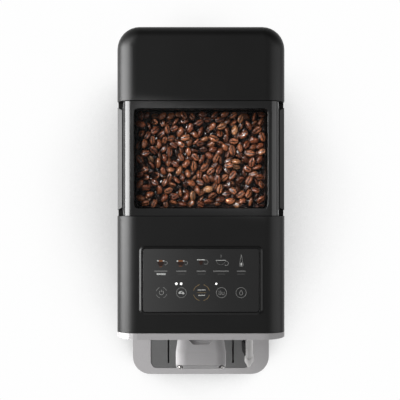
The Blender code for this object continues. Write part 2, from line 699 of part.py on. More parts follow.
def make_panels(finish):
    left = thing(
        "side_panel_left",
        block(-HALF_WIDTH, -PANEL_INSIDE, BODY_FRONT_Y, CORNER_START_Y - GAP, PANEL_LOW_Z, SHOULDER_Z),
        finish["matte_black"],
    )
    for i in range(VENT_COUNT):
        low = VENT_LOW + i * VENT_PITCH
        slot = rounded(
            VENT_MIDDLE - VENT_LENGTH / 2, VENT_MIDDLE + VENT_LENGTH / 2, low, low + VENT_HEIGHT,
            VENT_HEIGHT / 2
        )
        cut(left, prism(slot, "X", -HALF_WIDTH - OVERRUN, -PANEL_INSIDE + OVERRUN))
    right = thing(
        "side_panel_right",
        block(PANEL_INSIDE, HALF_WIDTH, BODY_FRONT_Y, CORNER_START_Y - GAP, PANEL_LOW_Z, SHOULDER_Z),
        finish["matte_black"],
    )
    opening = rounded(-DOOR_FRONT, DOOR_REAR, DOOR_LOW, DOOR_HIGH, DOOR_CORNER)
    cut(right, prism(opening, "X", PANEL_INSIDE - OVERRUN, HALF_WIDTH + OVERRUN))
    leaf = rounded(
        -DOOR_FRONT + DOOR_REVEAL, DOOR_REAR - DOOR_REVEAL, DOOR_LOW + DOOR_REVEAL, DOOR_HIGH - DOOR_REVEAL,
        DOOR_CORNER - DOOR_REVEAL,
    )
    middle = (DOOR_LOW + DOOR_HIGH) / 2
    door = thing(
        "service_door", prism(leaf, "X", PANEL_INSIDE, HALF_WIDTH), finish["matte_black"],
        (HALF_WIDTH, DOOR_REAR - DOOR_REVEAL, middle),
    )
    pull_front = -DOOR_FRONT + DOOR_PULL_HEIGHT
    pull = rounded(
        pull_front, pull_front + DOOR_PULL_HEIGHT, middle - DOOR_PULL_LENGTH / 2,
        middle + DOOR_PULL_LENGTH / 2,
        DOOR_PULL_HEIGHT / 2,
    )
    cut(door, prism(pull, "X", HALF_WIDTH - DOOR_PULL_DEPTH, HALF_WIDTH + OVERRUN))
    outer = plan_outline(HALF_WIDTH, CORNER_START_Y, REAR_Y, CORNER_RADIUS - GAP, EDGE_COUNT)
    rear = thing("rear_panel", prism(outer, "Z", PANEL_LOW_Z, SHOULDER_Z), finish["matte_black"])
    inner = plan_outline(
        PANEL_INSIDE, CORNER_START_Y - OVERRUN, REAR_Y - PANEL_WALL, CORNER_RADIUS - PANEL_WALL, EDGE_COUNT
    )
    cut(rear, prism(inner, "Z", PANEL_LOW_Z - OVERRUN, SHOULDER_Z + OVERRUN))


def cap_loop(half_width, rear, radius_x, radius_y, height, front):
    outline = [(-half_width, front), (half_width, front)]
    outline += arc(half_width - radius_x, rear - radius_y, radius_x, radius_y, 0, 1, EDGE_COUNT)
    outline += arc(radius_x - half_width, rear - radius_y, radius_x, radius_y, 1, 2, EDGE_COUNT)
    return [(x, y, height) for x, y in outline]


def cap_shape(inset, low, front):
    """The tank lid's outer form, or its inside at an inset: its side edges are rounder than its rear edge."""
    half_width = HALF_WIDTH - inset
    rear = REAR_Y - inset
    corner = CORNER_RADIUS - inset
    side = SIDE_RADIUS - inset
    back = REAR_EDGE_RADIUS - min(inset, REAR_EDGE_RADIUS * INSIDE_EDGE_SHARE)
    loops = [cap_loop(half_width, rear, corner, corner, low, front)]
    for i in range(EDGE_COUNT + 1):
        turn = math.pi / 2 * i / EDGE_COUNT
        draw = 1 - math.cos(turn)
        height = TOP_Z - inset - side * (1 - math.sin(turn))
        loops.append(cap_loop(
            half_width - side * draw, rear - back * draw, corner * (1 - CAP_CORNER_X_SHARE * draw),
            corner * (1 - CAP_CORNER_Y_SHARE * draw), height, front,
        ))
    return loft(loops)


def make_tank(finish):
    lid = thing(
        "tank_lid", cap_shape(0, SEAM_Z, CAP_FRONT_Y), finish["matte_black"],
        (0, TANK_MIDDLE_Y, SEAM_Z),
    )
    cut(lid, cap_shape(LID_RIM, SEAM_Z - OVERRUN, CAP_FRONT_Y + LID_RIM))

    half = PANEL_INSIDE - GAP - GAP
    front = CAP_FRONT_Y + BULKHEAD_WALL + GAP + GAP
    rear = REAR_Y - PANEL_WALL - GAP - GAP
    corner = CORNER_RADIUS - PANEL_WALL - GAP - GAP
    low = BAY_FLOOR_Z + GAP
    tank = thing(
        "water_tank", prism(plan_outline(half, front, rear, corner), "Z", low, SHOULDER_Z), finish["smoked"],
        (0, TANK_MIDDLE_Y, low),
    )
    inside = plan_outline(half - TANK_WALL, front + TANK_WALL, rear - TANK_WALL, corner - TANK_WALL)
    floor = low + TANK_WALL
    cut(
        tank,
        prism(inside, "Z", floor, SHOULDER_Z + OVERRUN),
        rod("Z", 0, TANK_MIDDLE_Y, TANK_VALVE_RADIUS + GAP, low - OVERRUN, floor + OVERRUN, ROD_COUNT),
    )
    stem_low = low - GAP
    cap_low = floor + GAP
    valve = [
        (0, stem_low), (TANK_VALVE_RADIUS, stem_low), (TANK_VALVE_RADIUS, cap_low), (TANK_VALVE_FLANGE,
            cap_low),
        (TANK_VALVE_FLANGE, cap_low + TANK_VALVE_CAP), (0, cap_low + TANK_VALVE_CAP),
    ]
    thing("tank_valve", turned(valve, 0, TANK_MIDDLE_Y, ROD_COUNT), finish["works_plastic"],
          (0, TANK_MIDDLE_Y, low))
    neck = TANK_VALVE_RADIUS + PANEL_WALL
    neck_top = stem_low - GAP
    base = BASE_FLOOR_Z + GAP
    shelf = PANEL_LOW_Z - GAP
    docking = [
        (0, base), (SOCKET_BASE_RADIUS, base), (SOCKET_BASE_RADIUS, shelf), (neck, shelf), (neck, neck_top),
        (0, neck_top),
    ]
    thing("tank_socket", turned(docking, 0, TANK_MIDDLE_Y, ROD_COUNT), finish["works_plastic"])

    wide = HALF_WIDTH - BASE_WALL - GAP
    wall_back = CAP_FRONT_Y + BULKHEAD_WALL
    bulkhead = thing(
        "tank_bulkhead",
        block(-wide, wide, CAP_FRONT_Y, wall_back, BASE_FLOOR_Z + GAP, SHOULDER_Z - BULKHEAD_WALL),
        finish["works_plastic"],
    )
    shelf_outline = plan_outline(
        wide, CAP_FRONT_Y, REAR_Y - BASE_WALL - GAP, CORNER_RADIUS - BASE_WALL - GAP
    )
    fuse(bulkhead, prism(shelf_outline, "Z", PANEL_LOW_Z, BAY_FLOOR_Z))
    cut(
        bulkhead,
        rod("Z", 0, TANK_MIDDLE_Y, neck + GAP, PANEL_LOW_Z - OVERRUN, BAY_FLOOR_Z + OVERRUN, ROD_COUNT),
        rod("Y", PUMP_OFFSET, PUMP_Z, TUBE_RADIUS + GAP, CAP_FRONT_Y - OVERRUN, wall_back + OVERRUN,
            ROD_COUNT),
    )


def make_front_cover(finish):
    cover = thing(
        "front_cover", prism(arch(HALF_WIDTH, SEAM_Z, TOP_Z, SIDE_RADIUS), "Y", BODY_FRONT_Y, COVER_REAR_Y),
        finish["matte_black"],
    )
    half_pad = PAD_WIDTH / 2
    foot = rounded(-half_pad, half_pad, PAD_FRONT_Y, PAD_REAR_Y, PAD_CORNER)
    crest = rounded(
        PAD_BEVEL - half_pad, half_pad - PAD_BEVEL, PAD_FRONT_Y + PAD_BEVEL, PAD_REAR_Y - PAD_BEVEL,
        PAD_CORNER - PAD_BEVEL,
    )
    levels = ((foot, TOP_Z - COVER_WALL * PAD_ROOT_SHARE), (foot, TOP_Z), (crest, HEIGHT))
    pad = loft([[(x, y, z) for x, y in outline] for outline, z in levels])
    inner = half_pad - PAD_RIM
    pocket = rounded(
        -inner, inner, PAD_FRONT_Y + PAD_END_RIM, PAD_REAR_Y - PAD_END_RIM,
        PAD_CORNER - PAD_RIM * PAD_CORNER_SHARE,
    )
    floor = HEIGHT - PAD_POCKET
    hollow = arch(HALF_WIDTH - COVER_WALL, SEAM_Z - OVERRUN, TOP_Z - COVER_WALL, SIDE_RADIUS - COVER_WALL,
        BEND_COUNT)
    fuse(cover, pad)
    cut(
        cover,
        prism(pocket, "Z", floor, HEIGHT + OVERRUN),
        prism(hollow, "Y", BODY_FRONT_Y - OVERRUN, COVER_REAR_Y - COVER_WALL),
    )
    groove = half_pad - PAD_RIM - GLASS_GROOVE
    edge = PAD_END_RIM + GLASS_GROOVE
    glass = rounded(-groove, groove, PAD_FRONT_Y + edge, PAD_REAR_Y - edge, GLASS_CORNER)
    thing("touch_panel", prism(glass, "Z", floor + GAP, floor + GAP + GLASS_THICKNESS), finish["black_glass"])

    under = TOP_Z - COVER_WALL - GAP
    board_top = under - STANDOFF
    half_x = CONTROL_BOARD_WIDTH / 2
    half_y = CONTROL_BOARD_LENGTH / 2
    board = thing(
        "control_board",
        block(-half_x, half_x, PAD_MIDDLE_Y - half_y, PAD_MIDDLE_Y + half_y, board_top - BOARD_THICKNESS,
            board_top),
        finish["board"],
    )
    for sx in (-1, 1):
        for sy in (-1, 1):
            x = sx * (half_x - STANDOFF_INSET)
            y = PAD_MIDDLE_Y + sy * (half_y - STANDOFF_INSET)
            fuse(board, rod("Z", x, y, STANDOFF_RADIUS, board_top - BOARD_THICKNESS / 2, under, ROD_COUNT))
    chip = CHIP_SIZE / 2
    low = board_top - BOARD_THICKNESS - CHIP_DEPTH
    fuse(board, block(-chip, chip, PAD_MIDDLE_Y - chip, PAD_MIDDLE_Y + chip, low,
            board_top - BOARD_THICKNESS / 2))


def make_front(finish):
    bezel = thing(
        "front_bezel",
        prism(arch(HALF_WIDTH, NICHE_LOW, TOP_Z, SIDE_RADIUS), "Y", BEZEL_FRONT_Y, BEZEL_BACK_Y),
        finish["silver"],
    )
    mouth = arch(NICHE_HALF, NICHE_LOW - OVERRUN, NICHE_TOP, NICHE_CORNER, BEND_COUNT)
    cut(bezel, prism(mouth, "Y", BEZEL_FRONT_Y - OVERRUN, BEZEL_BACK_Y + OVERRUN))
    straight = HALF_WIDTH - BEZEL_SWEEP_WIDTH
    for side in (-1, 1):
        swept = arc(
            side * straight, BEZEL_FRONT_Y + BEZEL_SWEEP, side * BEZEL_SWEEP_WIDTH, BEZEL_SWEEP, -1, 0,
            EDGE_COUNT,
        )
        ahead = BEZEL_FRONT_Y - OVERRUN
        beyond = side * (HALF_WIDTH + OVERRUN)
        swept += [(beyond, BEZEL_FRONT_Y + BEZEL_SWEEP), (beyond, ahead), (side * straight, ahead)]
        cut(bezel, prism(swept, "Z", NICHE_LOW - OVERRUN, TOP_Z + OVERRUN))

    outer = arch(NICHE_HALF + NICHE_WALL, NICHE_LOW, NICHE_TOP + NICHE_WALL, NICHE_CORNER + NICHE_WALL,
        BEND_COUNT)
    panel = thing("front_panel", prism(outer, "Y", BODY_FRONT_Y, NICHE_BACK_Y), finish["silver"])
    plate = drawer_plate_half() + DRAWER_REVEAL
    plate_top = DRAWER_LOW + DRAWER_HEIGHT + DRAWER_PLATE + DRAWER_REVEAL
    steam_z = WAND_BALL_AT.z + SOCKET_TOP / 2
    cut(
        panel,
        prism(mouth, "Y", BODY_FRONT_Y - OVERRUN, NICHE_Y),
        block(-plate, plate, NICHE_Y - OVERRUN, NICHE_BACK_Y + OVERRUN, NICHE_LOW - OVERRUN, plate_top),
        rod("Y", WAND_OFFSET, steam_z, TUBE_RADIUS + GAP, NICHE_Y - OVERRUN, NICHE_BACK_Y + OVERRUN,
            ROD_COUNT),
    )


def drawer_plate_half():
    return DRAWER_WIDTH / 2 + DRAWER_PLATE


def make_tray(finish):
    inside_half = TRAY_INNER_WIDTH / 2
    outline = rounded(
        TRAY_INSET - HALF_WIDTH, HALF_WIDTH - TRAY_INSET, TRAY_FRONT_Y, TRAY_INSIDE_Y,
        (TRAY_CORNER, TRAY_CORNER, 0, 0), EDGE_COUNT,
    )
    outline[-1:-1] = [
        (inside_half, TRAY_INSIDE_Y), (inside_half, TRAY_REAR_Y), (-inside_half, TRAY_REAR_Y),
        (-inside_half, TRAY_INSIDE_Y),
    ]
    tray = thing("drip_tray", prism(outline, "Z", TRAY_LOW, TRAY_TOP), finish["silver"],
                 (0, TRAY_FRONT_Y, TRAY_LOW))
    half_grid = GRID_WIDTH / 2 + GAP
    seat = rounded(
        -half_grid, half_grid, GRID_FRONT_Y - GAP, GRID_REAR_Y + GAP, (GRID_CORNER + GAP,
            GRID_CORNER + GAP, 0, 0)
    )
    basin_half = GRID_WIDTH / 2 - GRID_LEDGE
    basin = rounded(
        -basin_half, basin_half, GRID_FRONT_Y + GRID_LEDGE, GRID_REAR_Y - GRID_LEDGE,
        (GRID_CORNER - GRID_LEDGE, GRID_CORNER - GRID_LEDGE, 0, 0),
    )
    floor = TRAY_LOW + TRAY_WALL
    rear_half = DRAWER_WIDTH / 2 - DRAWER_LEDGE
    cut(
        tray,
        prism(seat, "Z", GRID_LOW - GAP, TRAY_TOP + OVERRUN),
        prism(basin, "Z", floor, GRID_LOW + OVERRUN),
        block(
            -rear_half, rear_half, DRAWER_FRONT_Y + DRAWER_LEDGE,
            DRAWER_FRONT_Y + DRAWER_LENGTH - DRAWER_LEDGE,
            floor, TRAY_TOP + OVERRUN,
        ),
    )

    half = GRID_WIDTH / 2
    plate = rounded(-half, half, GRID_FRONT_Y, GRID_REAR_Y, (GRID_CORNER, GRID_CORNER, 0, 0))
    grid = thing("drip_grid", prism(plate, "Z", GRID_LOW, GRID_TOP), finish["grid_grey"],
                 (0, FLOAT_Y, GRID_LOW))
    for i in SLOT_PLACES:
        x = i * SLOT_SPACING
        slot = rounded(
            x - SLOT_WIDTH / 2, x + SLOT_WIDTH / 2, GRID_FRONT_Y + SLOT_MARGIN, GRID_REAR_Y - SLOT_MARGIN,
            SLOT_WIDTH / 2, 2,
        )
        cut(grid, prism(slot, "Z", GRID_LOW - OVERRUN, GRID_TOP + OVERRUN))
    cut(grid, rod("Z", 0, FLOAT_Y, FLOAT_STEM + GAP, GRID_LOW - OVERRUN, GRID_TOP + OVERRUN, ROD_COUNT))

    low = floor + GAP
    disc_top = low + FLOAT_DISC
    profile = [
        (0, low), (FLOAT_RADIUS, low), (FLOAT_RADIUS, disc_top), (FLOAT_STEM, disc_top), (FLOAT_STEM,
            GRID_TOP),
        (0, GRID_TOP),
    ]
    thing("drip_float", turned(profile, 0, FLOAT_Y, ROD_COUNT), finish["float_red"], (0, FLOAT_Y, low))

    width = DRAWER_WIDTH / 2
    rear = DRAWER_FRONT_Y + DRAWER_LENGTH
    top = DRAWER_LOW + DRAWER_HEIGHT
    drawer = thing(
        "grounds_container", block(-width, width, DRAWER_FRONT_Y, rear, DRAWER_LOW, top),
        finish["works_plastic"], (0, DRAWER_FRONT_Y, DRAWER_LOW),
    )
    wall = DRAWER_WALL
    hollow = rounded(-width + wall, width - wall, DRAWER_FRONT_Y + wall, rear - wall, wall)
    cut(drawer, prism(hollow, "Z", DRAWER_LOW + wall, top + OVERRUN))
    half = drawer_plate_half()
    plate = thing(
        "grounds_front",
        block(-half, half, NICHE_Y, NICHE_Y + DRAWER_PLATE, DRAWER_LOW + GAP, top + DRAWER_PLATE),
        finish["silver"], (0, NICHE_Y, DRAWER_LOW),
    )
    pull_low = top - PULL_HEIGHT
    pull = rounded(-PULL_WIDTH / 2, PULL_WIDTH / 2, pull_low, pull_low + PULL_HEIGHT * PULL_SHARE, PULL_DEPTH)
    cut(plate, prism(pull, "Y", NICHE_Y - OVERRUN, NICHE_Y + PULL_DEPTH))


def spout_section(y, half_width, top, edge, drop):
    """The spout's outline across the machine: a flat foot, upright sides and rounded shoulders."""
    half = [(half_width, SPOUT_BOTTOM)] + arc(half_width - edge, top - drop, edge, drop, 0, 1, EDGE_COUNT)
    points = half + [(-x, z) for x, z in reversed(half)]
    return [(x, y, z) for x, z in points]


def make_spout(finish):
    half = COLUMN_WIDTH / 2
    rear = SPOUT_BACK_Y
    thing(
        "spout_column", block(-half, half, COLUMN_FRONT_Y, rear, COLUMN_TOP - COLUMN_HEIGHT, COLUMN_TOP),
        finish["silver"],
    )
    wide = SPOUT_WIDTH / 2
    waist = SPOUT_WAIST / 2
    stations = [
        (0, waist, SPOUT_REAR_TOP, SPOUT_REAR_EDGE, SPOUT_REAR_EDGE_DROP),
        (SPOUT_CREASE_REACH, wide, SPOUT_CREASE_TOP, SPOUT_EDGE, SPOUT_EDGE_DROP),
        (SPOUT_BROW_REACH, wide, SPOUT_BROW_TOP, SPOUT_EDGE, SPOUT_EDGE_DROP),
        (SPOUT_DEPTH, wide - SPOUT_NOSE, SPOUT_FRONT_TOP, SPOUT_EDGE, SPOUT_EDGE_DROP),
    ]
    soft = [stations[0]]
    for before, at, after in zip(stations, stations[1:], stations[2:]):
        for near in (before, after):
            part = SPOUT_CREASE / 2 / abs(near[0] - at[0])
            soft.append(tuple(a + (b - a) * part for a, b in zip(at, near)))
    soft.append(stations[-1])
    sections = [spout_section(rear - reach, *sizes) for reach, *sizes in soft]
    spout = thing("spout_body", loft(sections), finish["silver"], (0, rear, SPOUT_BOTTOM))
    half += GAP
    back = rear + OVERRUN
    pocket_front = rear - POCKET_REACH
    nose = POCKET_NOSE / 2
    pocket = [
        (-half, back), (-half, pocket_front + POCKET_TAPER), (-nose, pocket_front), (nose, pocket_front),
        (half, pocket_front + POCKET_TAPER), (half, back),
    ]
    cut(
        spout,
        block(-half, half, COLUMN_FRONT_Y - GAP, back, SPOUT_BOTTOM - OVERRUN, SPOUT_REAR_TOP + OVERRUN),
        prism(pocket, "Z", POCKET_FLOOR, SPOUT_REAR_TOP + OVERRUN),
    )
    y = SPOUT_FRONT_Y + NOZZLE_SETBACK
    low = SPOUT_BOTTOM - NOZZLE_LENGTH
    crown = SPOUT_FRONT_TOP + NOZZLE_RISE
    blind = crown - NOZZLE_BLIND
    tip = NOZZLE_RADIUS * NOZZLE_TIP_SHARE
    dome = arc(0, crown - NOZZLE_CROWN, NOZZLE_RADIUS, NOZZLE_CROWN, 0, 1, BEND_COUNT)
    profile = [
        (0, blind), (NOZZLE_BORE, blind), (NOZZLE_BORE, low), (tip, low),
        (NOZZLE_RADIUS, low + NOZZLE_RADIUS),
    ]
    for name, x in (("spout_nozzle_left", -NOZZLE_OFFSET), ("spout_nozzle_right", NOZZLE_OFFSET)):
        thing(name, turned(profile + dome[:-1] + [(0, crown)], x, y, ROD_COUNT), finish["steel"],
              (x, y, SPOUT_BOTTOM))
        cut(spout, rod("Z", x, y, NOZZLE_RADIUS + GAP, SPOUT_BOTTOM - OVERRUN, SPOUT_REAR_TOP, ROD_COUNT))


def wand_piece(name, shape, finish, turn):
    """A piece modelled hanging straight down from the ball centre, then swung to the wand's direction."""
    made = thing(name, shape, finish)
    made.location = WAND_BALL_AT
    made.rotation_euler = turn.to_euler()
    return made


def make_wand(finish):
    at = WAND_BALL_AT
    length = WAND_LINE.length
    turn = Vector((0, 0, -1)).rotation_difference(WAND_LINE)
    bore = WAND_BALL + GAP
    lip = bore * math.cos(SOCKET_LIP_ANGLE)
    socket = thing(
        "wand_socket", rod("Z", at.x, at.y, SOCKET_RADIUS, at.z - lip, at.z + SOCKET_TOP, ROD_COUNT),
        finish["silver"],
    )
    saddle = SOCKET_RADIUS * SADDLE_SHARE
    fuse(socket, block(at.x - saddle, at.x + saddle, at.y, SPOUT_BACK_Y, at.z - lip, at.z + SOCKET_TOP))
    wall = block(
        at.x - SOCKET_RADIUS - OVERRUN, at.x + SOCKET_RADIUS + OVERRUN, SPOUT_BACK_Y,
        at.y + SOCKET_RADIUS + OVERRUN, at.z - lip - OVERRUN, at.z + SOCKET_TOP + OVERRUN,
    )
    cut(socket, ball(bore, at), wall)
    thing("wand_ball", ball(WAND_BALL, at, ROD_COUNT), finish["steel"], at)

    joint = length - WAND_NOZZLE_LENGTH
    tube = wand_piece("wand_tube", rod("Z", 0, 0, WAND_TUBE, -joint, -WAND_BALL * BALL_BITE_SHARE, ROD_COUNT),
                      finish["steel"], turn)
    spigot = rod("Z", 0, 0, WAND_SPIGOT_RADIUS, -joint - WAND_SPIGOT, -joint + GAP, ROD_COUNT)
    spigot.transform(Matrix.LocRotScale(at, turn, None))
    fuse(tube, spigot)
    cut(tube, ball(bore, at))

    start = -joint - GAP
    bulge = start - WAND_NOZZLE_LENGTH * NOZZLE_BULGE_SHARE
    waist = start - WAND_NOZZLE_LENGTH * NOZZLE_WAIST_SHARE
    inner = WAND_SPIGOT_RADIUS + GAP
    bottom = start - WAND_SPIGOT - GAP
    profile = [
        (inner, start), (WAND_TUBE, start), (WAND_NOZZLE_RADIUS, start - WAND_COLLAR),
        (WAND_NOZZLE_RADIUS, bulge), (WAND_TIP, waist), (WAND_TIP, -length), (0, -length), (0, bottom),
        (inner, bottom),
    ]
    nozzle = turned_open(profile)
    wand_piece("wand_nozzle", nozzle, finish["steel"], turn)

    reach = WAND_TUBE + GAP
    outer = reach + GRIP_WALL
    grip_start = joint * GRIP_PLACE_SHARE
    grip = wand_piece(
        "wand_grip", rod("Z", 0, 0, outer, -grip_start - GRIP_LENGTH, -grip_start, ROD_COUNT),
        finish["rubber"],
        turn,
    )
    above = GRIP_LENGTH * GRIP_PEAK_SHARE
    below = GRIP_LENGTH - above
    peak = -grip_start - above
    leaf = arc(-reach, peak, GRIP_WING, above, 1, 2, EDGE_COUNT)
    leaf += arc(-reach, peak, GRIP_WING, below, 2, 3, EDGE_COUNT)[1:]
    wing = prism(leaf + [(0, peak - below), (0, peak + above)], "Y", 0, GRIP_WING_THICKNESS)
    beyond = outer + OVERRUN
    slit = block(-beyond, beyond, -beyond, reach * GRIP_OPENING_SHARE, -joint, 0)
    slit.transform(Matrix.Rotation(GRIP_TURN, 4, "Z"))
    bore = rod("Z", 0, 0, reach, -joint, 0, ROD_COUNT)
    place = Matrix.LocRotScale(at, turn, None)
    for shape in (wing, slit, bore):
        shape.transform(place)
    fuse(grip, wing)
    cut(grip, slit, bore)


def turned_open(profile):
    """A solid of revolution round the Z axis whose outline leaves the axis and comes back to it."""
    shape = bmesh.new()
    verts = [shape.verts.new((radius, 0, height)) for radius, height in profile]
    edges = [shape.edges.new((verts[i - 1], verts[i])) for i in range(len(verts))]
    for edge in list(edges):
        if all(v.co.x == 0 for v in edge.verts):
            edges.remove(edge)
            shape.edges.remove(edge)
    bmesh.ops.spin(
        shape, geom=verts + edges, cent=(0, 0, 0), axis=(0, 0, 1), angle=math.tau, steps=ROD_COUNT,
        use_merge=True, use_duplicate=False,
    )
    bmesh.ops.remove_doubles(shape, verts=shape.verts, dist=GAP / 100)
    bmesh.ops.recalc_face_normals(shape, faces=shape.faces)
    return shape


def make_hopper(finish):
    front = COVER_REAR_Y + GAP
    rear = CAP_FRONT_Y - GAP
    half_x = WINDOW_WIDTH / 2
    half_y = WINDOW_LENGTH / 2

    def mouth(extra):
        return rounded(
            -half_x - extra, half_x + extra, HOPPER_MIDDLE_Y - half_y - extra,
            HOPPER_MIDDLE_Y + half_y + extra,
            WINDOW_CORNER + max(extra, 0),
        )

    def at(outline, height):
        return [(x, y, height) for x, y in outline]

    foot = HALF_WIDTH - DECK_MARGIN
    top = LID_WIDTH / 2 + DECK_STEP
    shoulder = DECK_Z - DECK_SHOULDER
    section = [
        (-foot, SEAM_Z), (foot, SEAM_Z), (foot, shoulder), (top, DECK_Z), (-top, DECK_Z), (-foot, shoulder),
    ]
    deck = thing("hopper_deck", prism(section, "Y", front, rear), finish["matte_black"])
    cut(deck, prism(mouth(HOPPER_WALL + GAP), "Z", SEAM_Z - OVERRUN, DECK_Z + OVERRUN))
    inside = top - NOTCH_WIDTH
    for side in (-1, 1):
        for edge, inwards in ((rear, -1), (front, 1)):
            corner = [
                (side * inside, edge - inwards * OVERRUN),
                (side * (foot + OVERRUN), edge - inwards * OVERRUN),
                (side * (foot + OVERRUN), edge + inwards * NOTCH_SIDE_SHARE * NOTCH_LENGTH),
                (side * top, edge + inwards * NOTCH_LENGTH),
            ]
            cut(deck, prism(corner, "Z", DECK_Z - NOTCH_DEPTH, DECK_Z + OVERRUN))

    flange = rounded(
        FLANGE_MARGIN - LID_WIDTH / 2, LID_WIDTH / 2 - FLANGE_MARGIN, COVER_REAR_Y + LID_JOINT,
        CAP_FRONT_Y - LID_JOINT, FLANGE_MARGIN,
    )
    straight = HOPPER_STRAIGHT_Z
    neck = HOPPER_BOTTOM + HOPPER_NECK

    def throat(radius):
        return rounded(
            -radius, radius, HOPPER_MIDDLE_Y - radius, HOPPER_MIDDLE_Y + radius, radius * THROAT_SHARE
        )

    hopper = thing("bean_hopper", loft([
        at(mouth(HOPPER_WALL), HOPPER_RIM_Z - HOPPER_FLANGE / 2), at(mouth(HOPPER_WALL), straight),
        at(throat(HOPPER_THROAT), neck), at(throat(HOPPER_THROAT), HOPPER_BOTTOM),
    ]), finish["gloss_black"])
    bore = HOPPER_THROAT - HOPPER_WALL
    fuse(hopper, prism(flange, "Z", HOPPER_RIM_Z - HOPPER_FLANGE, HOPPER_RIM_Z))
    cut(hopper, loft([
        at(mouth(0), HOPPER_RIM_Z + OVERRUN), at(mouth(0), straight + HOPPER_WALL / 2),
        at(throat(bore), neck + HOPPER_WALL / 2), at(throat(bore), HOPPER_BOTTOM - OVERRUN),
    ]))
    make_beans(finish, straight + HOPPER_WALL / 2, neck + HOPPER_WALL / 2)

    low = HOPPER_RIM_Z + GAP
    cover = rounded(-LID_WIDTH / 2, LID_WIDTH / 2, low, TOP_Z, (0, 0, LID_RADIUS, LID_RADIUS), EDGE_COUNT)
    lid = thing(
        "hopper_lid", prism(cover, "Y", COVER_REAR_Y + LID_JOINT, CAP_FRONT_Y - LID_JOINT),
        finish["gloss_black"],
        (0, HOPPER_MIDDLE_Y, low),
    )
    pane_top = TOP_Z - WINDOW_DROP
    inner = WINDOW_LAP + GAP + SEAL_INSET
    groove = [
        mouth(inner + SEAL_WIDTH + GAP), mouth(inner - GAP),
    ]
    cut(
        lid,
        prism(mouth(0), "Z", low - OVERRUN, TOP_Z + OVERRUN),
        prism(mouth(WINDOW_LAP + GAP), "Z", low - OVERRUN, pane_top + GAP),
        ring(groove, low - OVERRUN, low + SEAL_HEIGHT + GAP),
    )
    thing("lid_window", prism(mouth(WINDOW_LAP), "Z", pane_top - WINDOW_THICKNESS, pane_top), finish["clear"],
          (0, HOPPER_MIDDLE_Y, low))
    thing("lid_seal", ring([mouth(inner + SEAL_WIDTH), mouth(inner)], low, low + SEAL_HEIGHT),
        finish["rubber"],
          (0, HOPPER_MIDDLE_Y, low))


def ring(outlines, low, high):
    """A solid between an outer and an inner outline of as many points."""
    shape = bmesh.new()
    loops = [
        [shape.verts.new((x, y, height)) for x, y in outline] for outline in outlines for height in (low,
            high)
    ]
    outer_low, outer_high, inner_low, inner_high = loops
    for a, b in ((outer_low, outer_high), (outer_high, inner_high), (inner_high, inner_low), (inner_low,
            outer_low)):
        for i in range(len(a)):
            j = (i + 1) % len(a)
            shape.faces.new((a[i], a[j], b[j], b[i]))
    bmesh.ops.recalc_face_normals(shape, faces=shape.faces)
    return shape


def bean_height(x, y):
    """Height of the top layer of beans above its mean level: rows of rounded beans that lean both ways."""
    row = math.floor(y / BEAN_WIDTH)
    shift = BEAN_LENGTH * BEAN_SHIFT_SHARE * (row % 3)
    column = math.floor((x + shift) / BEAN_LENGTH)
    u = (x + shift) / BEAN_LENGTH - column - 0.5
    v = y / BEAN_WIDTH - row - 0.5
    lift = math.sin(column * 2.4 + row * 1.7) * BEAN_UNEVEN_SHARE
    dome = max(0.0, 1 - 3 * u * u - 3 * v * v)
    return BEAN_RISE * (dome * (1 - BEAN_UNEVEN_SHARE) + lift)


def make_beans(finish, straight, neck):
    half_x = WINDOW_WIDTH / 2 - BEAN_CLEARANCE
    half_y = WINDOW_LENGTH / 2 - BEAN_CLEARANCE
    corner = WINDOW_CORNER - BEAN_CLEARANCE
    columns = round(2 * half_x / BEAN_GRID_STEP)
    rows = round(2 * half_y / BEAN_GRID_STEP)
    level = HOPPER_RIM_Z - BEAN_LEVEL_DROP

    def inside(x, y):
        """A point drawn in to the round corners of the hopper."""
        over_x = abs(x) - half_x + corner
        over_y = abs(y) - half_y + corner
        if over_x > 0 and over_y > 0:
            pull = min(1, corner / math.hypot(over_x, over_y))
            x = math.copysign(half_x - corner + over_x * pull, x)
            y = math.copysign(half_y - corner + over_y * pull, y)
        return x, y

    shape = bmesh.new()
    top = {}
    for i in range(columns + 1):
        for j in range(rows + 1):
            x, y = inside(half_x * (2 * i / columns - 1), half_y * (2 * j / rows - 1))
            top[i, j] = shape.verts.new((x, y + HOPPER_MIDDLE_Y, level + bean_height(x, y)))
    for i in range(columns):
        for j in range(rows):
            shape.faces.new((top[i, j], top[i + 1, j], top[i + 1, j + 1], top[i, j + 1]))
    border = [top[i, 0] for i in range(columns)] + [top[columns, j] for j in range(rows)]
    border += [top[i, rows] for i in range(columns, 0, -1)] + [top[0, j] for j in range(rows, 0, -1)]
    throat = HOPPER_THROAT - HOPPER_WALL - BEAN_CLEARANCE - BEAN_CLEARANCE
    rings = [border, [], [], []]
    for vert in border:
        x, y = vert.co.x, vert.co.y - HOPPER_MIDDLE_Y
        angle = math.atan2(y, x)
        rings[1].append(shape.verts.new((x, y + HOPPER_MIDDLE_Y, straight + BEAN_CLEARANCE)))
        px, py = throat * math.cos(angle), throat * math.sin(angle) + HOPPER_MIDDLE_Y
        rings[2].append(shape.verts.new((px, py, neck + BEAN_CLEARANCE)))
        rings[3].append(shape.verts.new((px, py, HOPPER_BOTTOM + BEAN_CLEARANCE)))
    for high, low in zip(rings, rings[1:]):
        for i in range(len(high)):
            j = (i + 1) % len(high)
            shape.faces.new((high[i], high[j], low[j], low[i]))
    shape.faces.new(rings[3])
    bmesh.ops.recalc_face_normals(shape, faces=shape.faces)
    thing("bean_fill", shape, finish["bean"])


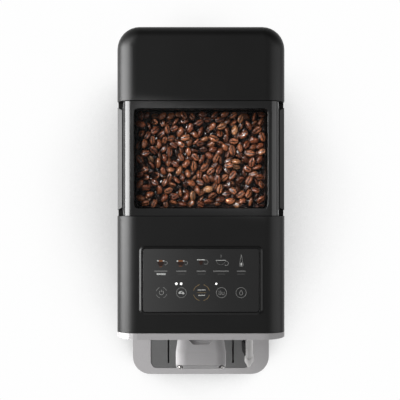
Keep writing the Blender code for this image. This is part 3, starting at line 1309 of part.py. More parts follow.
def gear_outline(teeth, phase):
    """Teeth with straight flanks round the origin. phase is a share of the tooth pitch."""
    pitch_radius = GEAR_MODULE * teeth / 2
    root = pitch_radius - GEAR_MODULE * TOOTH_DEEP_SHARE
    tip = pitch_radius + GEAR_MODULE * TOOTH_HIGH_SHARE
    step = math.tau / teeth
    points = []
    for i in range(teeth):
        middle = (i + phase) * step
        for radius, offset in (
            (root, -TOOTH_ROOT_SHARE / 2), (tip, -TOOTH_TIP_SHARE / 2), (tip, TOOTH_TIP_SHARE / 2),
            (root, TOOTH_ROOT_SHARE / 2),
        ):
            angle = middle + offset * step
            points.append((radius * math.cos(angle), radius * math.sin(angle)))
    return points


def make_grinder(finish):
    y = HOPPER_MIDDLE_Y
    wall = GRINDER_WALL
    roof = GRINDER_TOP - wall
    floor = GRINDER_LOW + wall
    inner = GRINDER_RADIUS - wall
    housing = thing("grinder_housing", rod("Z", 0, y, GRINDER_RADIUS, GRINDER_LOW, GRINDER_TOP),
                    finish["works_plastic"])
    chute_low = CHUTE_LOW
    chute_half = CHUTE_WIDTH / 2
    start = y - inner
    end = BREW_Y + CHAMBER_RADIUS - CHAMBER_WALL + GAP
    slope = CHUTE_DROP / (start - end)
    sag = slope * (wall + wall)
    cut(
        housing,
        rod("Z", 0, y, inner, floor, roof),
        rod("Z", 0, y, BURR_TOP_BORE, roof - OVERRUN, GRINDER_TOP + OVERRUN),
        rod("Z", 0, y, BURR_SHAFT + GAP, GRINDER_LOW - OVERRUN, floor + OVERRUN, ROD_COUNT),
        block(
            -chute_half - GAP, chute_half + GAP, y - GRINDER_RADIUS - OVERRUN, y - inner * CHUTE_ENTRY_SHARE,
            chute_low - GAP - sag, chute_low + CHUTE_HEIGHT + GAP,
        ),
    )
    high = roof - GAP
    low = high - BURR_HEIGHT
    outer = inner - GAP
    upper = [(BURR_TOP_BORE, high), (BURR_LOW_BORE, low), (outer, low), (outer, high)]
    thing("upper_burr", turned(upper, 0, y), finish["steel"], (0, y, low))
    cone_low = low - BURR_DROP
    shaft_end = GEAR_LOW
    lower = [
        (0, shaft_end), (BURR_SHAFT, shaft_end), (BURR_SHAFT, cone_low), (CONE_LOW, cone_low), (CONE_LOW,
            low),
        (CONE_TOP, high), (0, high),
    ]
    thing("lower_burr", turned(lower, 0, y), finish["steel"], (0, y, low))
    gear = thing("burr_gear", prism(gear_outline(GEAR_TEETH, 0.5), "Z", GEAR_LOW, GEAR_TOP),
                 finish["works_plastic"], (0, 0, 0))
    cut(gear, rod("Z", 0, 0, BURR_SHAFT + GAP, GEAR_LOW - OVERRUN, GEAR_TOP + OVERRUN, ROD_COUNT))
    gear.location = (0, y, 0)
    gear.rotation_euler = (0, 0, -math.pi / 2)
    pinion = thing("motor_pinion", prism(gear_outline(PINION_TEETH, 0), "Z", GEAR_LOW, GEAR_TOP),
                   finish["aluminium"], (0, 0, 0))
    cut(pinion, rod("Z", 0, 0, PINION_SHAFT + GAP, GEAR_LOW - OVERRUN, GEAR_TOP + OVERRUN, ROD_COUNT))
    pinion.location = (0, PINION_Y, 0)
    pinion.rotation_euler = (0, 0, math.pi / 2)

    bracket = thing(
        "motor_bracket",
        block(-BRACKET_WIDTH / 2, BRACKET_WIDTH / 2, PINION_Y - BRACKET_FRONT, CAP_FRONT_Y - GAP, BRACKET_LOW,
              BRACKET_TOP),
        finish["aluminium"],
    )
    cut(
        bracket,
        rod("Z", 0, y, BURR_SHAFT + GAP, BRACKET_LOW - OVERRUN, BRACKET_TOP + OVERRUN, ROD_COUNT),
        rod("Z", 0, PINION_Y, PINION_SHAFT + GAP, BRACKET_LOW - OVERRUN, BRACKET_TOP + OVERRUN, ROD_COUNT),
    )
    motor = thing(
        "grinder_motor", rod("Z", 0, PINION_Y, MOTOR_RADIUS, MOTOR_TOP - MOTOR_HEIGHT, MOTOR_TOP),
        finish["steel"]
    )
    post_top = BRACKET_LOW - GAP
    half = MOTOR_POST_SPACING / 2
    post_y = PINION_Y - MOTOR_POST_SETBACK
    root = MOTOR_TOP - MOTOR_POST
    fuse(
        motor,
        rod("Z", 0, PINION_Y, PINION_SHAFT, root, BRACKET_TOP, ROD_COUNT),
        rod("Z", -half, post_y, MOTOR_POST, root, post_top, ROD_COUNT),
        rod("Z", half, post_y, MOTOR_POST, root, post_top, ROD_COUNT),
    )

    wall = CHUTE_WALL

    def section(level, height):
        return [
            (-chute_half, level, height), (chute_half, level, height),
            (chute_half, level, height + CHUTE_HEIGHT), (-chute_half, level, height + CHUTE_HEIGHT),
        ]

    def bore(level, height):
        inner_half = chute_half - wall
        return [
            (-inner_half, level, height + wall), (inner_half, level, height + wall),
            (inner_half, level, height + CHUTE_HEIGHT - wall), (-inner_half, level,
                height + CHUTE_HEIGHT - wall),
        ]

    chute = thing("grinder_chute", loft([section(start, chute_low), section(end, chute_low - CHUTE_DROP)]),
                  finish["works_plastic"])
    cut(chute, loft([
        bore(start + OVERRUN, chute_low + OVERRUN * slope),
        bore(end - OVERRUN, chute_low - CHUTE_DROP - OVERRUN * slope),
    ]))


def make_brew_unit(finish):
    half = FRAME_WIDTH / 2
    frame = thing(
        "brew_frame", block(-half, half, FRAME_FRONT_Y, FRAME_BACK_Y, FRAME_LOW, FRAME_HIGH),
        finish["works_plastic"]
    )
    reach = FRAME_BACK_Y + FRAME_REACH
    shelf_top = CHAMBER_LOW - GAP
    arm_low = FRAME_HIGH - FRAME_ARM
    root = FRAME_BACK_Y - FRAME_WALL / 2
    fuse(
        frame,
        block(-half, half, root, reach, shelf_top - FRAME_ARM, shelf_top),
        block(-half, half, root, reach, arm_low, FRAME_HIGH),
    )
    cut(frame, rod("Z", 0, BREW_Y, PISTON_STEM + GAP, arm_low - OVERRUN, FRAME_HIGH + OVERRUN))

    top = CHAMBER_LOW + CHAMBER_HEIGHT
    inner = CHAMBER_RADIUS - CHAMBER_WALL
    floor = CHAMBER_LOW + CHAMBER_FLOOR
    cup = [(0, CHAMBER_LOW), (CHAMBER_RADIUS, CHAMBER_LOW), (CHAMBER_RADIUS, top), (inner, top), (inner,
            floor),
           (0, floor)]
    thing("brew_chamber", turned(cup, 0, BREW_Y), finish["works_plastic"])

    face = top - PISTON_DROP
    disc = inner - PISTON_FIT
    crown = face + PISTON_HEIGHT
    nut = FRAME_HIGH + GAP
    piston = [
        (0, face), (disc, face), (disc, crown), (PISTON_STEM, crown), (PISTON_STEM, nut), (PISTON_NUT, nut),
        (PISTON_NUT, nut + PISTON_NUT_HEIGHT), (0, nut + PISTON_NUT_HEIGHT),
    ]
    thing("brew_piston", turned(piston, 0, BREW_Y), finish["aluminium"], (0, BREW_Y, face))

    left = HEATER_RIGHT - HEATER_WIDTH
    rear = HEATER_FRONT_Y + HEATER_LENGTH
    heater = thing(
        "water_heater", block(left, HEATER_RIGHT, HEATER_FRONT_Y, rear, HEATER_LOW,
            HEATER_LOW + HEATER_HEIGHT),
        finish["aluminium"],
    )
    pitch = HEATER_HEIGHT / FIN_COUNT
    for i in range(FIN_COUNT):
        middle = HEATER_LOW + (i + 0.5) * pitch
        cut(heater, block(
            left - OVERRUN, left + FIN_DEPTH, HEATER_FRONT_Y - OVERRUN, rear + OVERRUN, middle - FIN_SLOT / 2,
            middle + FIN_SLOT / 2,
        ))


def make_pump(finish):
    coil = PUMP_COIL_SIZE / 2
    pump = thing("water_pump", rod("Y", PUMP_OFFSET, PUMP_Z, PUMP_RADIUS, PUMP_FRONT, PUMP_REAR, ROD_COUNT),
                 finish["works_plastic"])
    middle = (PUMP_FRONT + PUMP_REAR) / 2
    half = PUMP_COIL_LENGTH / 2
    fuse(
        pump,
        block(PUMP_OFFSET - coil, PUMP_OFFSET + coil, middle - half, middle + half, PUMP_Z - coil,
            PUMP_Z + coil),
        rod("Y", PUMP_OFFSET, PUMP_Z, PUMP_PORT, PUMP_FRONT - PUMP_PORT_LENGTH, PUMP_REAR + PUMP_PORT_LENGTH,
            ROD_COUNT),
    )


def smooth_path(points, count):
    """Points spread along a smooth curve through the given ones."""
    handles = [points[0]] + list(points) + [points[-1]]
    spans = len(points) - 1
    path = []
    for i in range(count + 1):
        place = min(i / count * spans, spans - 1e-9)
        span = int(place)
        t = place - span
        a, b, c, d = handles[span:span + 4]
        path.append(0.5 * (
            2 * b + (c - a) * t + (2 * a - 5 * b + 4 * c - d) * t * t + (3 * b - a - 3 * c + d) * t ** 3
        ))
    return path


def make_tube(name, points, finish):
    points = [Vector(point) for point in points]
    path = smooth_path(points, TUBE_POINT_COUNT)
    ways = [points[1] - points[0]] + [b - a for a, b in zip(path, path[2:])] + [points[-1] - points[-2]]
    side = ways[0].orthogonal()
    loops = []
    for centre, way in zip(path, ways):
        ahead = way.normalized()
        side = (side - ahead * side.dot(ahead)).normalized()
        other = ahead.cross(side)
        loops.append([centre + side * u + other * v for u, v in circle(0, 0, TUBE_RADIUS, 2 * BEND_COUNT)])
    return thing(name, loft(loops), finish["tube"])


def make_tubes(finish):
    heater_x = HEATER_RIGHT - HEATER_WIDTH / 2
    heater_rear = HEATER_FRONT_Y + HEATER_LENGTH
    heater_top = HEATER_LOW + HEATER_HEIGHT
    port_front = PUMP_FRONT - PUMP_PORT_LENGTH - GAP
    port_rear = PUMP_REAR + PUMP_PORT_LENGTH + GAP
    bend = TUBE_BEND
    make_tube("water_tube", [
        (SOCKET_BASE_RADIUS + GAP, TANK_MIDDLE_Y, PUMP_Z),
        (SOCKET_BASE_RADIUS + bend, TANK_MIDDLE_Y, PUMP_Z),
        (PUMP_OFFSET, CAP_FRONT_Y + bend, PUMP_Z),
        (PUMP_OFFSET, CAP_FRONT_Y + bend / 2, PUMP_Z),
        (PUMP_OFFSET, CAP_FRONT_Y, PUMP_Z),
        (PUMP_OFFSET, port_rear, PUMP_Z),
    ], finish)
    drawer_top = DRAWER_LOW + DRAWER_HEIGHT
    rise = TRAY_REAR_Y + bend / 2
    make_tube("heater_tube", [
        (PUMP_OFFSET, port_front, PUMP_Z),
        (PUMP_OFFSET, port_front - bend / 2, PUMP_Z),
        (PUMP_OFFSET, rise, PUMP_Z + bend),
        (PUMP_OFFSET, rise, drawer_top),
        (PUMP_OFFSET, rise - bend / 2, drawer_top + bend),
        (heater_x + bend, heater_rear + bend, drawer_top + bend),
        (heater_x, heater_rear + bend, HEATER_LOW),
        (heater_x, heater_rear + bend / 2, HEATER_LOW + bend),
        (heater_x, heater_rear + GAP, HEATER_LOW + bend),
    ], finish)
    port = (CHAMBER_RADIUS + GAP + TUBE_RADIUS / 2) * math.sqrt(0.5)
    low = CHAMBER_LOW + CHAMBER_FLOOR + TUBE_RADIUS + TUBE_RADIUS
    exit_x = HEATER_RIGHT - TUBE_RADIUS - TUBE_RADIUS
    make_tube("brew_tube", [
        (exit_x, heater_rear + GAP, low),
        (exit_x, heater_rear + bend / 2, low),
        (-port - bend / 2, BREW_Y + port + bend, low),
        (-port - TUBE_RADIUS, BREW_Y + port + TUBE_RADIUS, low),
        (-port, BREW_Y + port, low),
    ], finish)
    steam_z = WAND_BALL_AT.z + SOCKET_TOP / 2
    over = FRAME_HIGH + bend / 2
    lane = FRAME_BACK_Y + TUBE_RADIUS + TUBE_RADIUS
    make_tube("steam_tube", [
        (heater_x, lane, heater_top + GAP),
        (heater_x, lane, heater_top + bend),
        (HEATER_RIGHT, lane, over),
        (-HEATER_RIGHT, lane, over),
        (WAND_OFFSET, lane, steam_z + bend / 2),
        (WAND_OFFSET, lane, steam_z + TUBE_RADIUS),
        (WAND_OFFSET, NICHE_BACK_Y, steam_z),
        (WAND_OFFSET, NICHE_Y, steam_z),
    ], finish)


def make_power_board(finish):
    rear = POWER_BOARD_FRONT + POWER_BOARD_LENGTH
    high = POWER_BOARD_LOW + POWER_BOARD_HEIGHT
    near = -PANEL_INSIDE + GAP
    face = near + STANDOFF
    back = face + BOARD_THICKNESS
    board = thing(
        "power_board", block(face, back, POWER_BOARD_FRONT, rear, POWER_BOARD_LOW, high), finish["board"]
    )
    root = (face + back) / 2
    for y in (POWER_BOARD_FRONT + STANDOFF_INSET, rear - STANDOFF_INSET):
        for z in (POWER_BOARD_LOW + STANDOFF_INSET, high - STANDOFF_INSET):
            fuse(board, rod("X", y, z, STANDOFF_RADIUS, near, root, ROD_COUNT))
    for share in RELAY_SHARES:
        y = POWER_BOARD_FRONT + POWER_BOARD_LENGTH * share
        z = POWER_BOARD_LOW + POWER_BOARD_HEIGHT * share
        fuse(board, block(
            root, back + RELAY_DEPTH, y - RELAY_WIDTH / 2, y + RELAY_WIDTH / 2, z - RELAY_HEIGHT / 2,
            z + RELAY_HEIGHT / 2,
        ))


def main():
    for old in list(bpy.data.objects):
        bpy.data.objects.remove(old)
    finish = materials()
    make_base(finish)
    make_power_sockets(finish)
    make_panels(finish)
    make_tank(finish)
    make_front_cover(finish)
    make_front(finish)
    make_tray(finish)
    make_spout(finish)
    make_wand(finish)
    make_hopper(finish)
    make_grinder(finish)
    make_brew_unit(finish)
    make_pump(finish)
    make_tubes(finish)
    make_power_board(finish)
    for made in bpy.context.scene.objects:
        shade(made)
        made.data.materials[0] = made.data.materials[0].copy()
        made.data.materials[0].name = made.name


main()
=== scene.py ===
"""Looks of a slim bean to cup coffee machine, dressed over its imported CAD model.

Metres, +Z up, the front faces -Y. Sizes written in millimetres are multiplied by MM.
"""

import json
import math
import random

import bmesh
import bpy
import numpy
from mathutils import Euler, Matrix, Vector


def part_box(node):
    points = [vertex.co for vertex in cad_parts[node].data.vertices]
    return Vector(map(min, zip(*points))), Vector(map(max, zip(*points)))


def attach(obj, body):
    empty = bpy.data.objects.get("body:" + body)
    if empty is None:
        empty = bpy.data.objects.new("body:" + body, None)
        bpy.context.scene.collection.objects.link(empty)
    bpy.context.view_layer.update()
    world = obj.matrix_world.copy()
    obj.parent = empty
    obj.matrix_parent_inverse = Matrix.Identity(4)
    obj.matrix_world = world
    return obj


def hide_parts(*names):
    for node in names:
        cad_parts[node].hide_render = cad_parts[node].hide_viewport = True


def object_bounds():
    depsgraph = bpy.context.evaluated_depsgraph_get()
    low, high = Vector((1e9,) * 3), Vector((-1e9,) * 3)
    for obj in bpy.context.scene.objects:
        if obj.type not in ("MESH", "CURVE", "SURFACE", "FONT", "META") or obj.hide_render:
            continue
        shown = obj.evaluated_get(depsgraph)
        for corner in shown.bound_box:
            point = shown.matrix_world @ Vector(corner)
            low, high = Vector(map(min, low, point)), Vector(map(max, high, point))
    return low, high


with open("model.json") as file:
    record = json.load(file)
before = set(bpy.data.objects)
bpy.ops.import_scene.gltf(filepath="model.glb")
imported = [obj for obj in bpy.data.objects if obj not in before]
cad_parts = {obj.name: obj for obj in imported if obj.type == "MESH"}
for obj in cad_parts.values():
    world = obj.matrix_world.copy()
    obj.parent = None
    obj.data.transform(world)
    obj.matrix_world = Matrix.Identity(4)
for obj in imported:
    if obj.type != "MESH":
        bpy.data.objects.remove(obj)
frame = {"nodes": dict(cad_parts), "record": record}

MM = 0.001
QUARTER = math.pi / 2
UP = (0, 0, 1)

cad_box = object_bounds()
bodies = frame["record"]["behaviour"]["bodies"]
body_of = {node: body for body, members in bodies.items() for node in members}
slot_of = {part["node"]: part["material_slot"] for part in frame["record"]["subparts"]}


# ---------------------------------------------------------------- finishes

def linear(colour):
    """An sRGB hex colour as linear red, green, blue and alpha."""
    parts = [int(colour[i:i + 2], 16) / 255 for i in (1, 3, 5)]
    return tuple(c / 12.92 if c <= 0.04045 else ((c + 0.055) / 1.055) ** 2.4 for c in parts) + (1.0,)


def surface(name, colour, roughness, sockets=()):
    """A new material with these constant values on its Principled shader, and that shader."""
    made = bpy.data.materials.new(name)
    made.use_nodes = True
    shader = made.node_tree.nodes["Principled BSDF"]
    shader.inputs["Base Color"].default_value = linear(colour)
    shader.inputs["Roughness"].default_value = roughness
    for socket, value in dict(sockets).items():
        shader.inputs[socket].default_value = value
    return made, shader


def add(tree, kind, sockets=(), **settings):
    """Adds one node: its own settings, then a value or another node's output for each named input."""
    node = tree.nodes.new("ShaderNode" + kind)
    for name, value in settings.items():
        setattr(node, name, value)
    for name, value in dict(sockets).items():
        if isinstance(value, bpy.types.NodeSocket):
            tree.links.new(value, node.inputs[name])
        else:
            node.inputs[name].default_value = value
    return node


def ramp(tree, factor, stops):
    """A colour ramp over a 0 to 1 factor. stops are (place, sRGB hex colour)."""
    node = add(tree, "ValToRGB", {"Fac": factor})
    while len(node.color_ramp.elements) < len(stops):
        node.color_ramp.elements.new(0.5)
    for element, (place, colour) in zip(node.color_ramp.elements, stops):
        element.position = place
        element.color = linear(colour)
    return node.outputs["Color"]


def pattern(tree, size, detail=2.0, stretch=(1, 1, 1), distortion=0.0):
    """Soft noise whose blobs are about size across, in metres, on the object's own coordinates."""
    place = add(tree, "TexCoord").outputs["Object"]
    turned = add(tree, "Mapping", {"Vector": place, "Scale": stretch})
    return add(tree, "TexNoise", {
        "Vector": turned.outputs["Vector"], "Scale": 1 / size, "Detail": detail, "Distortion": distortion,
    }).outputs["Fac"]


def relief(tree, shader, height, depth, strength=1.0):
    """Lets a pattern stand out of the surface by depth."""
    bump = add(tree, "Bump", {"Height": height, "Distance": depth, "Strength": strength})
    tree.links.new(bump.outputs["Normal"], shader.inputs["Normal"])


def uneven(tree, shader, socket, factor, low, high):
    """Lets a pattern vary one of the shader's numbers between low and high."""
    spread = add(tree, "MapRange", {"Value": factor, "To Min": low, "To Max": high})
    tree.links.new(spread.outputs["Result"], shader.inputs[socket])


def tinted(tree, shader, factor, stops):
    """Lets a pattern vary the base colour along these colour stops."""
    tree.links.new(ramp(tree, factor, stops), shader.inputs["Base Color"])


def matte_abs():
    """Injection moulded ABS from an eroded mould: a fine even grain softens the lamps to a broad sheen."""
    made, shader = surface("matte_moulded_abs", "#111111", 0.42, {"Specular IOR Level": 0.42})
    tree = made.node_tree
    uneven(tree, shader, "Roughness", pattern(tree, 38 * MM), 0.39, 0.45)
    tinted(tree, shader, pattern(tree, 60 * MM), ((0.3, "#0f0f0f"), (0.7, "#131313")))
    # The real grain is about 0.1 mm, drawn at 0.5 mm so that it can show close up.
    relief(tree, shader, pattern(tree, 0.5 * MM), 0.012 * MM, 0.6)
    return made


def polished_abs():
    """Piano black ABS under a clear lacquer: deep black with clear reflections and a breath of haze."""
    made, shader = surface("polished_black_abs", "#111111", 0.26, {"IOR": 1.55, "Coat Weight": 0.3})
    tree = made.node_tree
    uneven(tree, shader, "Roughness", pattern(tree, 24 * MM, 4.0), 0.23, 0.29)
    tinted(tree, shader, pattern(tree, 45 * MM), ((0.3, "#101010"), (0.7, "#131313")))
    # Sink and flow of the moulding, far apart and very shallow.
    relief(tree, shader, pattern(tree, 30 * MM, 1.0), 0.02 * MM, 0.3)
    return made


def etched_glass():
    """Back printed touch glass, acid etched: satin, greyer than the covers, and paler towards the left edge
    as a painted reflection of the left soft box."""
    made, shader = surface("etched_touch_glass", "#303131", 0.3, {"IOR": 1.5})
    tree = made.node_tree
    low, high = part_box("touch_panel")
    place = add(tree, "SeparateXYZ", {"Vector": add(tree, "TexCoord").outputs["Object"]})
    across = add(tree, "MapRange", {
        "Value": place.outputs["X"], "From Min": low.x, "From Max": high.x,
    }).outputs["Result"]
    # Painted reflection: the base colour runs from pale at the left edge to dark at the right, standing for
    # the left soft box.
    tinted(tree, shader, across, ((0.0, "#414141"), (0.35, "#343434"), (0.7, "#282828"), (1.0, "#252525")))
    uneven(tree, shader, "Roughness", pattern(tree, 20 * MM), 0.27, 0.33)
    relief(tree, shader, pattern(tree, 0.4 * MM), 0.004 * MM, 0.4)
    return made


def silver_lacquer():
    """Silver lacquered ABS: fine aluminium flakes under a satin clear coat, between paint and metal."""
    made, shader = surface("silver_lacquered_abs", "#b3b1b2", 0.45, {"Metallic": 0.15})
    tree = made.node_tree
    # Flakes are about 0.05 mm, drawn at 0.35 mm.
    flakes = pattern(tree, 0.35 * MM, 3.0)
    tinted(tree, shader, flakes, ((0.3, "#acaaab"), (0.7, "#bab8b9")))
    uneven(tree, shader, "Roughness", pattern(tree, 30 * MM), 0.42, 0.48)
    relief(tree, shader, flakes, 0.01 * MM, 0.35)
    return made


def powder_coat():
    """Grey powder coated steel plate: an even satin grey with slight orange peel."""
    made, shader = surface("powder_coated_steel", "#626262", 0.5)
    tree = made.node_tree
    tinted(tree, shader, pattern(tree, 0.6 * MM, 3.0), ((0.3, "#5e5e5e"), (0.7, "#666666")))
    relief(tree, shader, pattern(tree, 1.6 * MM), 0.03 * MM, 0.5)
    return made


def blasted_stainless():
    """Bead blasted stainless steel: thousands of small dents scatter the lamps into a soft grey, with faint
    lines round the tube."""
    made, shader = surface("blasted_stainless_steel", "#c6c4c3", 0.42, {"Metallic": 0.3})
    tree = made.node_tree
    lines = pattern(tree, 3 * MM, 5.0, (1, 1, 12))
    tinted(tree, shader, lines, ((0.3, "#bebcbb"), (0.7, "#cecccb")))
    uneven(tree, shader, "Roughness", lines, 0.38, 0.46)
    relief(tree, shader, lines, 0.006 * MM, 0.5)
    return made


def polished_stainless():
    """Polished stainless steel: clear bright streaks, slightly clouded by handling."""
    made, shader = surface("polished_stainless_steel", "#d2d0ce", 0.24, {"Metallic": 1.0})
    tree = made.node_tree
    clouds = pattern(tree, 4 * MM, 3.0)
    tinted(tree, shader, clouds, ((0.3, "#cac8c6"), (0.7, "#d8d6d4")))
    uneven(tree, shader, "Roughness", clouds, 0.2, 0.28)
    relief(tree, shader, pattern(tree, 2 * MM), 0.004 * MM, 0.4)
    return made


def rubber():
    """Moulded silicone rubber: black and dull, with a fine pitted skin."""
    made, shader = surface("moulded_silicone_rubber", "#101010", 0.66, {"Specular IOR Level": 0.35})
    tree = made.node_tree
    tinted(tree, shader, pattern(tree, 6 * MM, 4.0), ((0.3, "#0d0d0d"), (0.7, "#141414")))
    relief(tree, shader, pattern(tree, 0.7 * MM), 0.03 * MM, 0.5)
    return made


def clear_styrene():
    """Clear moulded styrene: all but invisible, with a faint grey cast at its thickness."""
    made, shader = surface("clear_styrene", "#1c1e1e", 0.05, {"Alpha": 0.05, "IOR": 1.58})
    tree = made.node_tree
    uneven(tree, shader, "Roughness", pattern(tree, 40 * MM), 0.03, 0.07)
    return made


def smoked_tank():
    """Smoke tinted SAN, as a water tank is moulded: dark, glossy, and half see-through."""
    made, shader = surface("smoked_san", "#1d1f22", 0.08, {"Alpha": 0.62, "IOR": 1.57})
    tree = made.node_tree
    tinted(tree, shader, pattern(tree, 50 * MM), ((0.3, "#1a1c1f"), (0.7, "#212327")))
    uneven(tree, shader, "Roughness", pattern(tree, 30 * MM), 0.06, 0.12)
    return made


def roasted_coffee():
    """Medium roasted coffee: oily brown, with its crease darkened as painted shade. Each bean's tone, its own
    roasting lowered with depth as painted shade, is in its mesh.
    """
    made, shader = surface("roasted_coffee_beans", "#55301d", 0.28, {"IOR": 1.5})
    tree = made.node_tree
    tone = add(tree, "Attribute", attribute_name="tone").outputs["Fac"]
    crease = add(tree, "Attribute", attribute_name="crease").outputs["Fac"]
    # Each bean's tone: its own roasting, lowered for deeper beans as painted shade.
    roast_and_depth_shade = ramp(tree, tone, ((0.0, "#4a2414"), (0.35, "#7e4227"), (0.75, "#a2623f"), (1.0, "#b07c54")))
    blotches = ramp(tree, pattern(tree, 1.8 * MM, 3.0), ((0.3, "#808080"), (0.65, "#ffffff")))
    mottled = add(tree, "Mix", {"Factor": 1.0, "A": roast_and_depth_shade, "B": blotches}, data_type="RGBA",
                  blend_type="MULTIPLY")
    # Painted shade in the crease: near black for most beans, while the palest tones keep a tan line of
    # silverskin.
    crease_shade_and_silverskin = ramp(tree, tone, ((0.6, "#0e0402"), (0.85, "#231108"), (1.0, "#7a5a3e")))
    sharp = add(tree, "MapRange", {"Value": crease, "From Min": 0.15, "From Max": 0.65})
    mixed = add(tree, "Mix", {"Factor": sharp.outputs["Result"], "A": mottled.outputs["Result"],
                              "B": crease_shade_and_silverskin}, data_type="RGBA")
    # Painted shade: the colour darkens on what lies low between the beans, where shade falls.
    low = add(tree, "Attribute", attribute_name="gap").outputs["Fac"]
    painted_gap_shade = ramp(tree, low, ((0.0, "#ffffff"), (1.0, "#2c211c")))
    gap_shaded_colour = add(tree, "Mix", {"Factor": 1.0, "A": mixed.outputs["Result"], "B": painted_gap_shade}, data_type="RGBA",
                blend_type="MULTIPLY")
    tree.links.new(gap_shaded_colour.outputs["Result"], shader.inputs["Base Color"])
    uneven(tree, shader, "Roughness", pattern(tree, 3 * MM, 2.0), 0.2, 0.36)
    relief(tree, shader, pattern(tree, 1.1 * MM, 3.0), 0.12 * MM, 0.6)
    return made


def filled_nylon():
    """Glass filled nylon of inner parts: dark grey with pale short fibres at the surface."""
    made, shader = surface("glass_filled_nylon", "#3b3c3e", 0.6)
    tree = made.node_tree
    fibres = pattern(tree, 1.2 * MM, 4.0, (1, 4, 1))
    tinted(tree, shader, fibres, ((0.35, "#353638"), (0.6, "#3e3f41"), (0.75, "#4a4b4d")))
    relief(tree, shader, fibres, 0.03 * MM, 0.4)
    return made


def cast_aluminium():
    """Pressure die cast aluminium: bright grey, finely blistered skin."""
    made, shader = surface("die_cast_aluminium", "#b9babc", 0.42, {"Metallic": 1.0})
    tree = made.node_tree
    skin = pattern(tree, 1.4 * MM, 4.0)
    tinted(tree, shader, skin, ((0.3, "#aeafb1"), (0.7, "#c4c5c7")))
    uneven(tree, shader, "Roughness", skin, 0.36, 0.5)
    relief(tree, shader, skin, 0.04 * MM, 0.5)
    return made


def circuit_board():
    """Fibreglass board under green solder mask: copper tracks raise it in straight runs."""
    made, shader = surface("green_circuit_board", "#0d4a2a", 0.35)
    tree = made.node_tree
    place = add(tree, "TexCoord").outputs["Object"]
    turned = add(tree, "Mapping", {"Vector": place, "Rotation": (0, QUARTER, 0)})
    tracks = add(tree, "TexBrick", {
        "Vector": turned.outputs["Vector"], "Scale": 1 / (8 * MM), "Mortar Size": 0.06, "Mortar Smooth": 0.2,
        "Color1": linear("#0b4024"), "Color2": linear("#0e4c2b"), "Mortar": linear("#2a7a4b"),
    })
    tree.links.new(tracks.outputs["Color"], shader.inputs["Base Color"])
    relief(tree, shader, tracks.outputs["Fac"], 0.04 * MM, 0.6)
    return made


def silicone_hose():
    """Extruded silicone hose: milky white, soft gloss, die lines along it."""
    made, shader = surface("milky_silicone_hose", "#d5d3cb", 0.42, {"Coat Weight": 0.1})
    tree = made.node_tree
    tinted(tree, shader, pattern(tree, 9 * MM), ((0.3, "#cdcbc2"), (0.7, "#dcdad3")))
    relief(tree, shader, pattern(tree, 1 * MM), 0.02 * MM, 0.4)
    return made


def red_float():
    """Foamed red polypropylene: bright, waxy, with a pebbled skin."""
    made, shader = surface("red_polypropylene", "#b3201f", 0.42)
    tree = made.node_tree
    tinted(tree, shader, pattern(tree, 2 * MM), ((0.3, "#a81c1c"), (0.7, "#bd2423")))
    relief(tree, shader, pattern(tree, 0.8 * MM), 0.03 * MM, 0.5)
    return made


def printed_ink(name, thin, thick, glow=0.0):
    """Screen printed ink on the glass: it lies a little thinner and thicker as the screen's threads let it
    through. glow is the light behind a key that is on."""
    made, shader = surface(name, thick, 0.5)
    tree = made.node_tree
    tinted(tree, shader, pattern(tree, 0.9 * MM, 3.0), ((0.35, thin), (0.6, thick)))
    if glow:
        shader.inputs["Emission Color"].default_value = linear(thick)
        shader.inputs["Emission Strength"].default_value = glow
    return made


FINISH = {
    "matte_black": matte_abs(),
    "gloss_black": polished_abs(),
    "black_glass": etched_glass(),
    "silver": silver_lacquer(),
    "grid_grey": powder_coat(),
    "steel": blasted_stainless(),
    "rubber": rubber(),
    "clear": clear_styrene(),
    "smoked": smoked_tank(),
    "bean": roasted_coffee(),
    "works_plastic": filled_nylon(),
    "aluminium": cast_aluminium(),
    "board": circuit_board(),
    "tube": silicone_hose(),
    "float_red": red_float(),
}
POLISHED_STEEL = polished_stainless()
PALE_INK = printed_ink("pale_grey_ink", "#80807e", "#949492")
SOFT_INK = printed_ink("soft_white_ink", "#b2b3b1", "#c4c5c3")
LABEL_INK = printed_ink("label_grey_ink", "#656564", "#757574")
FAINT_INK = printed_ink("faint_grey_ink", "#3d3d3d", "#474746")
WHITE_INK = printed_ink("lit_white_ink", "#e9e9e6", "#f4f4f2", 0.75)
CREMA_INK = printed_ink("crema_ink", "#6b3f1f", "#875532")
GOLD_INK = printed_ink("golden_brown_ink", "#7d6847", "#8f7954")
COFFEE_INK = printed_ink("coffee_brown_ink", "#1e0d07", "#2c140b")


# ---------------------------------------------------------------- making pieces

def piece(name, shape, finish, body, smooth=True):
    """Turns a bmesh into a piece that rides on a body, with its faces pointing outwards."""
    mesh = bpy.data.meshes.new(name)
    shape.to_mesh(mesh)
    shape.free()
    mesh.materials.clear()
    mesh.materials.append(finish)
    mesh.polygons.foreach_set("use_smooth", [smooth] * len(mesh.polygons))
    made = bpy.data.objects.new(name, mesh)
    bpy.context.scene.collection.objects.link(made)
    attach(made, body)
    return made


def merged(node):
    """A CAD node's mesh with its loose triangles joined and its flat faces made whole."""
    shape = bmesh.new()
    shape.from_mesh(frame["nodes"][node].data)
    bmesh.ops.remove_doubles(shape, verts=shape.verts, dist=0.002 * MM)
    bmesh.ops.dissolve_limit(shape, angle_limit=math.radians(0.4), verts=shape.verts, edges=shape.edges)
    return shape


def round_front(shape):
    """Marks the edges of the bezel's upper front rim for the full rounding, and its other edges for a slight
    one, as the lacquered rim is the softest edge of the machine."""
    weight = shape.edges.layers.float.new("bevel_weight_edge")
    front = min(vert.co.y for vert in shape.verts) + RIM_DEPTH
    side = max(vert.co.x for vert in shape.verts)
    top = max(vert.co.z for vert in shape.verts)
    for edge in shape.edges:
        upper_front = all(vert.co.z > top - RIM_HEIGHT and vert.co.y < front for vert in edge.verts)
        middle = (edge.verts[0].co + edge.verts[1].co) / 2
        outer = middle.z > top - RIM_WIDTH or abs(middle.x) > side - RIM_WIDTH
        edge[weight] = 1.0 if upper_front and outer else SLIGHT_ROUNDING


